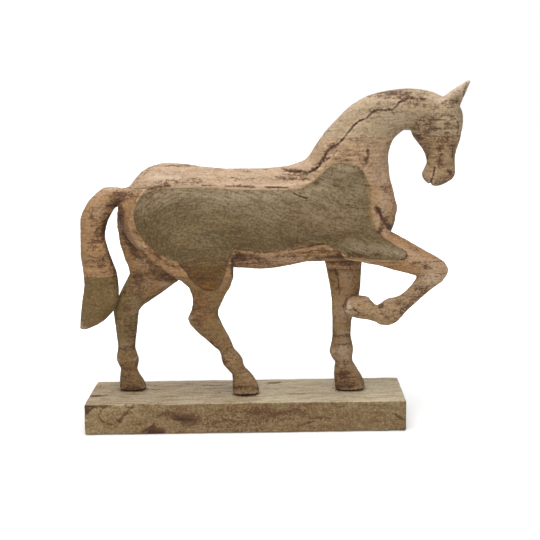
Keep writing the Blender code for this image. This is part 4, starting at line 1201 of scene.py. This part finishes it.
class HORSE_OT_saw_boards(bpy.types.Operator):
    """Saw the carved block at its seams, one piece for each board of the frame"""

    bl_idname = "horse.saw_boards"
    bl_label = "Saw the boards"

    def execute(self, context):
        tone = colours()
        block = bpy.data.objects["carved_block"]
        core = cut_out(block.data, [(Y, RIGHT_PLANE, -1), (Y, LEFT_PLANE, 1)])
        for seed, (node, (wood, *habit, bounds)) in enumerate(BOARDS.items()):
            ground = tuple(getattr(tone, wood))
            finish = washed_wood(f"{node}_finish", ground, seed, *habit)
            fit_piece(cut_out(core, bounds, node), node, finish)
        for seed, (side, plane, sign) in enumerate((("right", RIGHT_PLANE, 1),
                                                    ("left", LEFT_PLANE, -1)), 21):
            flank = cut_out(block.data, [(Y, plane, sign)])
            for part, wood, above in (("side", tone.olive, -1), ("thigh", tone.honey, 1)):
                node = f"{side}_{part}_board"
                finish = olive_wood(f"{node}_finish", tuple(wood), seed)
                fit_piece(cut_out(flank, [(Z, FLANK_SEAM, above)], node), node, finish)
        discard(block)
        return {"FINISHED"}


class HORSE_OT_saw_lifted_leg(bpy.types.Operator):
    """Saw the bent shank and hoof of the lifted leg"""

    bl_idname = "horse.saw_lifted_leg"
    bl_label = "Saw the lifted leg"

    def execute(self, context):
        leg = bpy.data.objects["lifted_leg"]
        node = "right_fore_shank"
        finish = washed_wood(f"{node}_finish", tuple(colours().dun), 31, 1.5, 0.06, 0.5)
        fit_piece(cut_out(leg.data, [(Z, THIGH_SEAM, 1)], node), node, finish)
        discard(leg)
        return {"FINISHED"}


# Marks in the plinth, laid out like the stains: on its front as (x, z), on its top as (x, y)
FRONT_MARKS = (
    (-171, 34, 10, 2.0, 1.0, -4), (-176, 29, 4, 5, 0.8, 40), (-178, 22, 2, 10, 0.5),
    (-139, 16.5, 3.5, 3.5, 0.75, 50), (-104, 3, 12, 4.2, 0.8), (-103, 7, 5, 4, 0.6),
    (-93, 2, 6, 3, 0.5), (-66, 19, 16, 7, 0.55), (-68, 17, 13, 1.7, 0.95, -2),
    (-74, 20, 8, 2.5, 0.5, -12), (-60, 12, 14, 3, 0.35), (-90, 24, 16, 6, 0.25, 30),
    (170, 16, 9, 2.2, 0.7, -34), (158, 8, 14, 4, 0.3, -15), (-132, 25, 8, 5, 0.2, 45),
    (72, 11, 4, 1.5, 0.5, 20), (88, 15, 12, 3, 0.35), (10, 15, 70, 14, 0.22), (-20, 12, 30, 8, 0.2),
    (40, 22, 34, 8, 0.2), (-155, 21, 8, 9, 0.2), (-150, 34, 12, 1.2, 0.5),
    (-116, 34.4, 9, 1.0, 0.7), (10, 26, 60, 5, 0.2))
TOP_MARKS = (
    (-168, -12, 11, 5, 0.75), (-172, -14, 6, 3, 0.5), (-36, 24, 16, 2.5, 0.6),
    (-60, 26, 20, 2, 0.3), (30, 30, 13, 6, 0.5, 15), (58, -16, 18, 3, 0.35), (-90, 10, 40, 3, 0.25),
    (-10, -4, 26, 7, 0.25), (120, -30, 40, 3, 0.3), (70, -35, 30, 2, 0.3), (-120, -24, 30, 4, 0.2),
    (145, 18, 24, 2.5, 0.3), (-110, 28, 30, 3, 0.3), (-160, 30, 14, 5, 0.2))
BROWN_FIGURE = (
    (-76, 20, 32, 12, 0.9, -10), (-108, 7, 22, 7, 0.6, 8), (20, 20, 86, 18, 1.0),
    (-134, 12, 34, 16, 0.5), (130, 12, 50, 8, 0.6))
SWIRLS = (
    (((-122, 33), (-130, 27), (-136.5, 19.5), (-141, 13.6)), 1.3, 0.6),
    (((-153, 33.5), (-160.4, 27.2), (-160.7, 19.5), (-153.8, 13.6), (-144.7, 12.7)), 1.3, 0.5),
    (((-165, 34), (-171, 29), (-176, 24)), 1.2, 0.7),
    (((-119, 0.5), (-111, 5), (-104, 9), (-99, 15)), 1.1, 0.6),
    (((-104, 9), (-96, 6), (-90, 1)), 1.2, 0.5),
    (((-140, 8), (-128, 12), (-116, 11)), 1.2, 0.3),
    (((-131, 6), (-120, 9), (-110, 15), (-104, 24)), 1.2, 0.25),
    (((-100, 18), (-94, 22), (-86, 25), (-78, 25)), 1.2, 0.35),
    (((-84, 5), (-70, 9), (-54, 10)), 1.1, 0.3),
    (((52, 3), (62, 8), (72, 12), (86, 15)), 1.1, 0.4))


# How high a hoof's sole is taken to reach, and how far past it the painted contact shadow does
SOLE_HEIGHT = 3
SOLE_SHADOW_REACH = 2.2


def hoof_contact_shadow(hoof):
    """The painted contact shadow round a hoof's sole, as a spot on the plinth's top."""
    points = read_points(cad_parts[hoof].data)
    sole = points[points[:, 2] < points[:, 2].min() + SOLE_HEIGHT]
    low, high = sole.min(0), sole.max(0)
    x, y, _ = (low + high) / 2
    length, width, _ = (high - low) / 2 + SOLE_SHADOW_REACH
    return x, y, length, width, 0.9


def weathered(block):
    """Round and wear the plinth's edges and write down its marks, its painted hoof shadows and its
    paler top.
    """
    sizes = carving()
    mesh = block.data
    low, high = (np.array(corner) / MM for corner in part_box("plinth"))
    points = read_points(mesh)
    normals = read_normals(mesh)
    to_faces = np.sort(np.minimum(points - low, high - points), 1)
    by_edge = 1 - within(to_faces[:, 1], 2.0, 6.0)
    links = Links(mesh)
    soft = links.low_pass(points, sizes.plinth_wear, sizes.plinth_cell, terms=24)
    chips = within(ripple(points, 26, 21), 0.1, 1.2)
    points += (soft - points) * (by_edge * (0.8 + 0.5 * chips))[:, None]
    points -= normals * (0.12 + 0.12 * ripple(points, 24, 22))[:, None]
    write_points(mesh, points.clip(low, high))
    front = Drawing(points[:, 0], points[:, 2])
    top = Drawing(points[:, 0], points[:, 1])
    on_front = normals[:, 1] < -0.5
    on_top = normals[:, 2] > 0.5
    stain = painted(front, FRONT_MARKS)
    for line, width, strength in SWIRLS:
        stain = stained_along(front, stain, line, width, strength)
    # Painted contact shadow round each hoof's sole on the plinth's top
    shadow_round_hooves = painted(top, [hoof_contact_shadow(hoof) for hoof in BOARDS if hoof.endswith("hoof")])
    stain = stain * on_front + painted(top, TOP_MARKS) * on_top
    stain = np.maximum(stain, shadow_round_hooves * on_top)
    stain += 0.25 * by_edge * within(-ripple(points, 18, 23), 0.2, 1.0)
    front_rim = np.exp(-((points[:, 1] - low[1]) / 5) ** 2) * within(points[:, 0], -40, 60)
    rear_rim = 1.3 * np.exp(-((points[:, 1] - high[1]) / 7) ** 2)
    write_value(mesh, "stain", stain.clip(0, 1))
    # The top is laid paler all over, partly grey wash and partly painted light from above, with
    # paler front and rear rims
    washed = 0.65 + 0.3 * within(points[:, 0], -100, 120)
    write_value(mesh, "wear", ((washed + 0.4 * front_rim + 0.8 * rear_rim) * on_top).clip(0, 1))
    write_value(mesh, "amber", painted(front, BROWN_FIGURE) * on_front)
    write_value(mesh, "curls", within(-points[:, 0], 55, 105) * on_front)


class HORSE_OT_shape_plinth(bpy.types.Operator):
    """Shape the plinth, a solid block with worn edges and bored for its screws"""

    bl_idname = "horse.shape_plinth"
    bl_label = "Shape the plinth"

    def execute(self, context):
        block = glued_up("plinth_block", [board_of_frame("plinth")], carving().plinth_cell)
        weathered(block)
        fit_piece(block.data.copy(), "plinth", plinth_wood("plinth_finish", 50))
        discard(block)
        return {"FINISHED"}


class HORSE_OT_fit_screws(bpy.types.Operator):
    """Finish the steel screws that hold the hooves from beneath"""

    bl_idname = "horse.fit_screws"
    bl_label = "Fit the screws"

    def execute(self, context):
        steel = screw_steel("screw_finish")
        for name in SCREWS:
            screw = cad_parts[name]
            screw.data.materials.clear()
            screw.data.materials.append(steel)
        return {"FINISHED"}


def softbox(name, place, target, size, power):
    """A square light that faces a point."""
    lamp = bpy.data.lights.new(name, "AREA")
    lamp.shape = "SQUARE"
    lamp.size = size
    lamp.energy = power
    light = new_object(name, lamp)
    light.location = place
    light.rotation_euler = (Vector(target) - Vector(place)).to_track_quat("-Z", "Y").to_euler()


def camera_turn():
    """The camera's turn: it looks along +Y, pitched down, turned and rolled a little."""
    ahead = Vector((sin(YAW) * cos(PITCH), cos(YAW) * cos(PITCH), -sin(PITCH)))
    level = Vector((cos(YAW), -sin(YAW), 0))
    above = level.cross(ahead)
    right = level * cos(ROLL) + above * sin(ROLL)
    up = above * cos(ROLL) - level * sin(ROLL)
    return Matrix((right, up, -ahead)).transposed()


def floor_paint(colour):
    """A plain pale floor that the camera sees as white but for the horse's shadow."""
    paint = new_finish("floor_paint", colour)
    where = paint.node("ShaderNodeTexCoord", {}, {}, "Object")
    away = paint.node("ShaderNodeVectorMath", {"operation": "LENGTH"}, {0: where}, "Value")
    glow = paint.mix(paint.seen() * (away.step(0.2, 0.8) + 0.2), (0.0, 0.0, 0.0), (1.0, 1.0, 1.0))
    return paint.surface(roughness=0.9, emission_color=glow, emission_strength=1.0)


def room_light(level):
    """A room that lights evenly and that the camera sees as white."""
    room = Finish(bpy.data.worlds.new("room"))
    light = room.tree.nodes["Background"]
    light.inputs["Color"].default_value = (1.0, 1.0, 1.0, 1.0)
    room.plug(light.inputs["Strength"], level + room.seen() * (1.0 - level))
    return room.holder


class HORSE_OT_set_stage(bpy.types.Operator):
    """Set up the floor, the studio light and the camera"""

    bl_idname = "horse.set_stage"
    bl_label = "Set the stage"

    def execute(self, context):
        scene = bpy.context.scene
        light = studio()
        bm = bmesh.new()
        bmesh.ops.create_grid(bm, x_segments=1, y_segments=1, size=6.0)
        bmesh.ops.translate(bm, verts=bm.verts, vec=(0, 0, -FLOOR_GAP * MM))
        floor = new_object("floor", mesh_of(bm, "floor"))
        floor.data.materials.append(floor_paint(light.floor))
        softbox("top_softbox", (-0.05, -0.35, 1.7), (0.0, 0.0, 0.15), 1.5, light.top_power)
        softbox("front_softbox", (-0.25, -2.1, 0.9), (0.0, 0.0, 0.18), 1.6, light.front_power)
        softbox("rear_softbox", (0.4, 2.2, 1.0), (0.0, 0.0, 0.18), 1.6, light.rear_power)
        scene.world = room_light(light.room)
        lens = bpy.data.cameras.new("camera")
        lens.lens = FOCAL_LENGTH
        lens.sensor_width = SENSOR
        lens.sensor_fit = "HORIZONTAL"
        camera = new_object("camera", lens)
        camera.matrix_world = Matrix.Translation(Vector(EYE) * MM) @ camera_turn().to_4x4()
        scene.camera = camera
        scene.view_settings.view_transform = "Standard"
        return {"FINISHED"}


OPERATORS = (HORSE_OT_glue_up, HORSE_OT_carve, HORSE_OT_saw_boards, HORSE_OT_saw_lifted_leg,
             HORSE_OT_shape_plinth, HORSE_OT_fit_screws, HORSE_OT_set_stage)
GROUPS = {"horse_carving": CarvingSizes, "horse_colours": WoodColours,
          "horse_studio": StudioLight}


class HORSE_PT_workshop(bpy.types.Panel):
    """The steps that carve and finish the horse"""

    bl_idname = "HORSE_PT_workshop"
    bl_label = "Carved horse"
    bl_space_type = "VIEW_3D"
    bl_region_type = "UI"
    bl_category = "Carved horse"

    def draw(self, context):
        for operator in OPERATORS:
            self.layout.operator(operator.bl_idname)
        for name, group in GROUPS.items():
            box = self.layout.box()
            for key in group.__annotations__:
                box.prop(getattr(context.scene, name), key)


def register():
    for made in (*GROUPS.values(), *OPERATORS, HORSE_PT_workshop):
        bpy.utils.register_class(made)
    for name, group in GROUPS.items():
        setattr(bpy.types.Scene, name, PointerProperty(type=group))


def unregister():
    for name in GROUPS:
        delattr(bpy.types.Scene, name)
    for made in (HORSE_PT_workshop, *reversed(OPERATORS), *reversed(GROUPS.values())):
        bpy.utils.unregister_class(made)


def main():
    register()
    bpy.ops.horse.glue_up()
    bpy.ops.horse.carve()
    bpy.ops.horse.saw_boards()
    bpy.ops.horse.saw_lifted_leg()
    bpy.ops.horse.shape_plinth()
    bpy.ops.horse.fit_screws()
    bpy.ops.horse.set_stage()


if __name__ == "__main__":
    main()
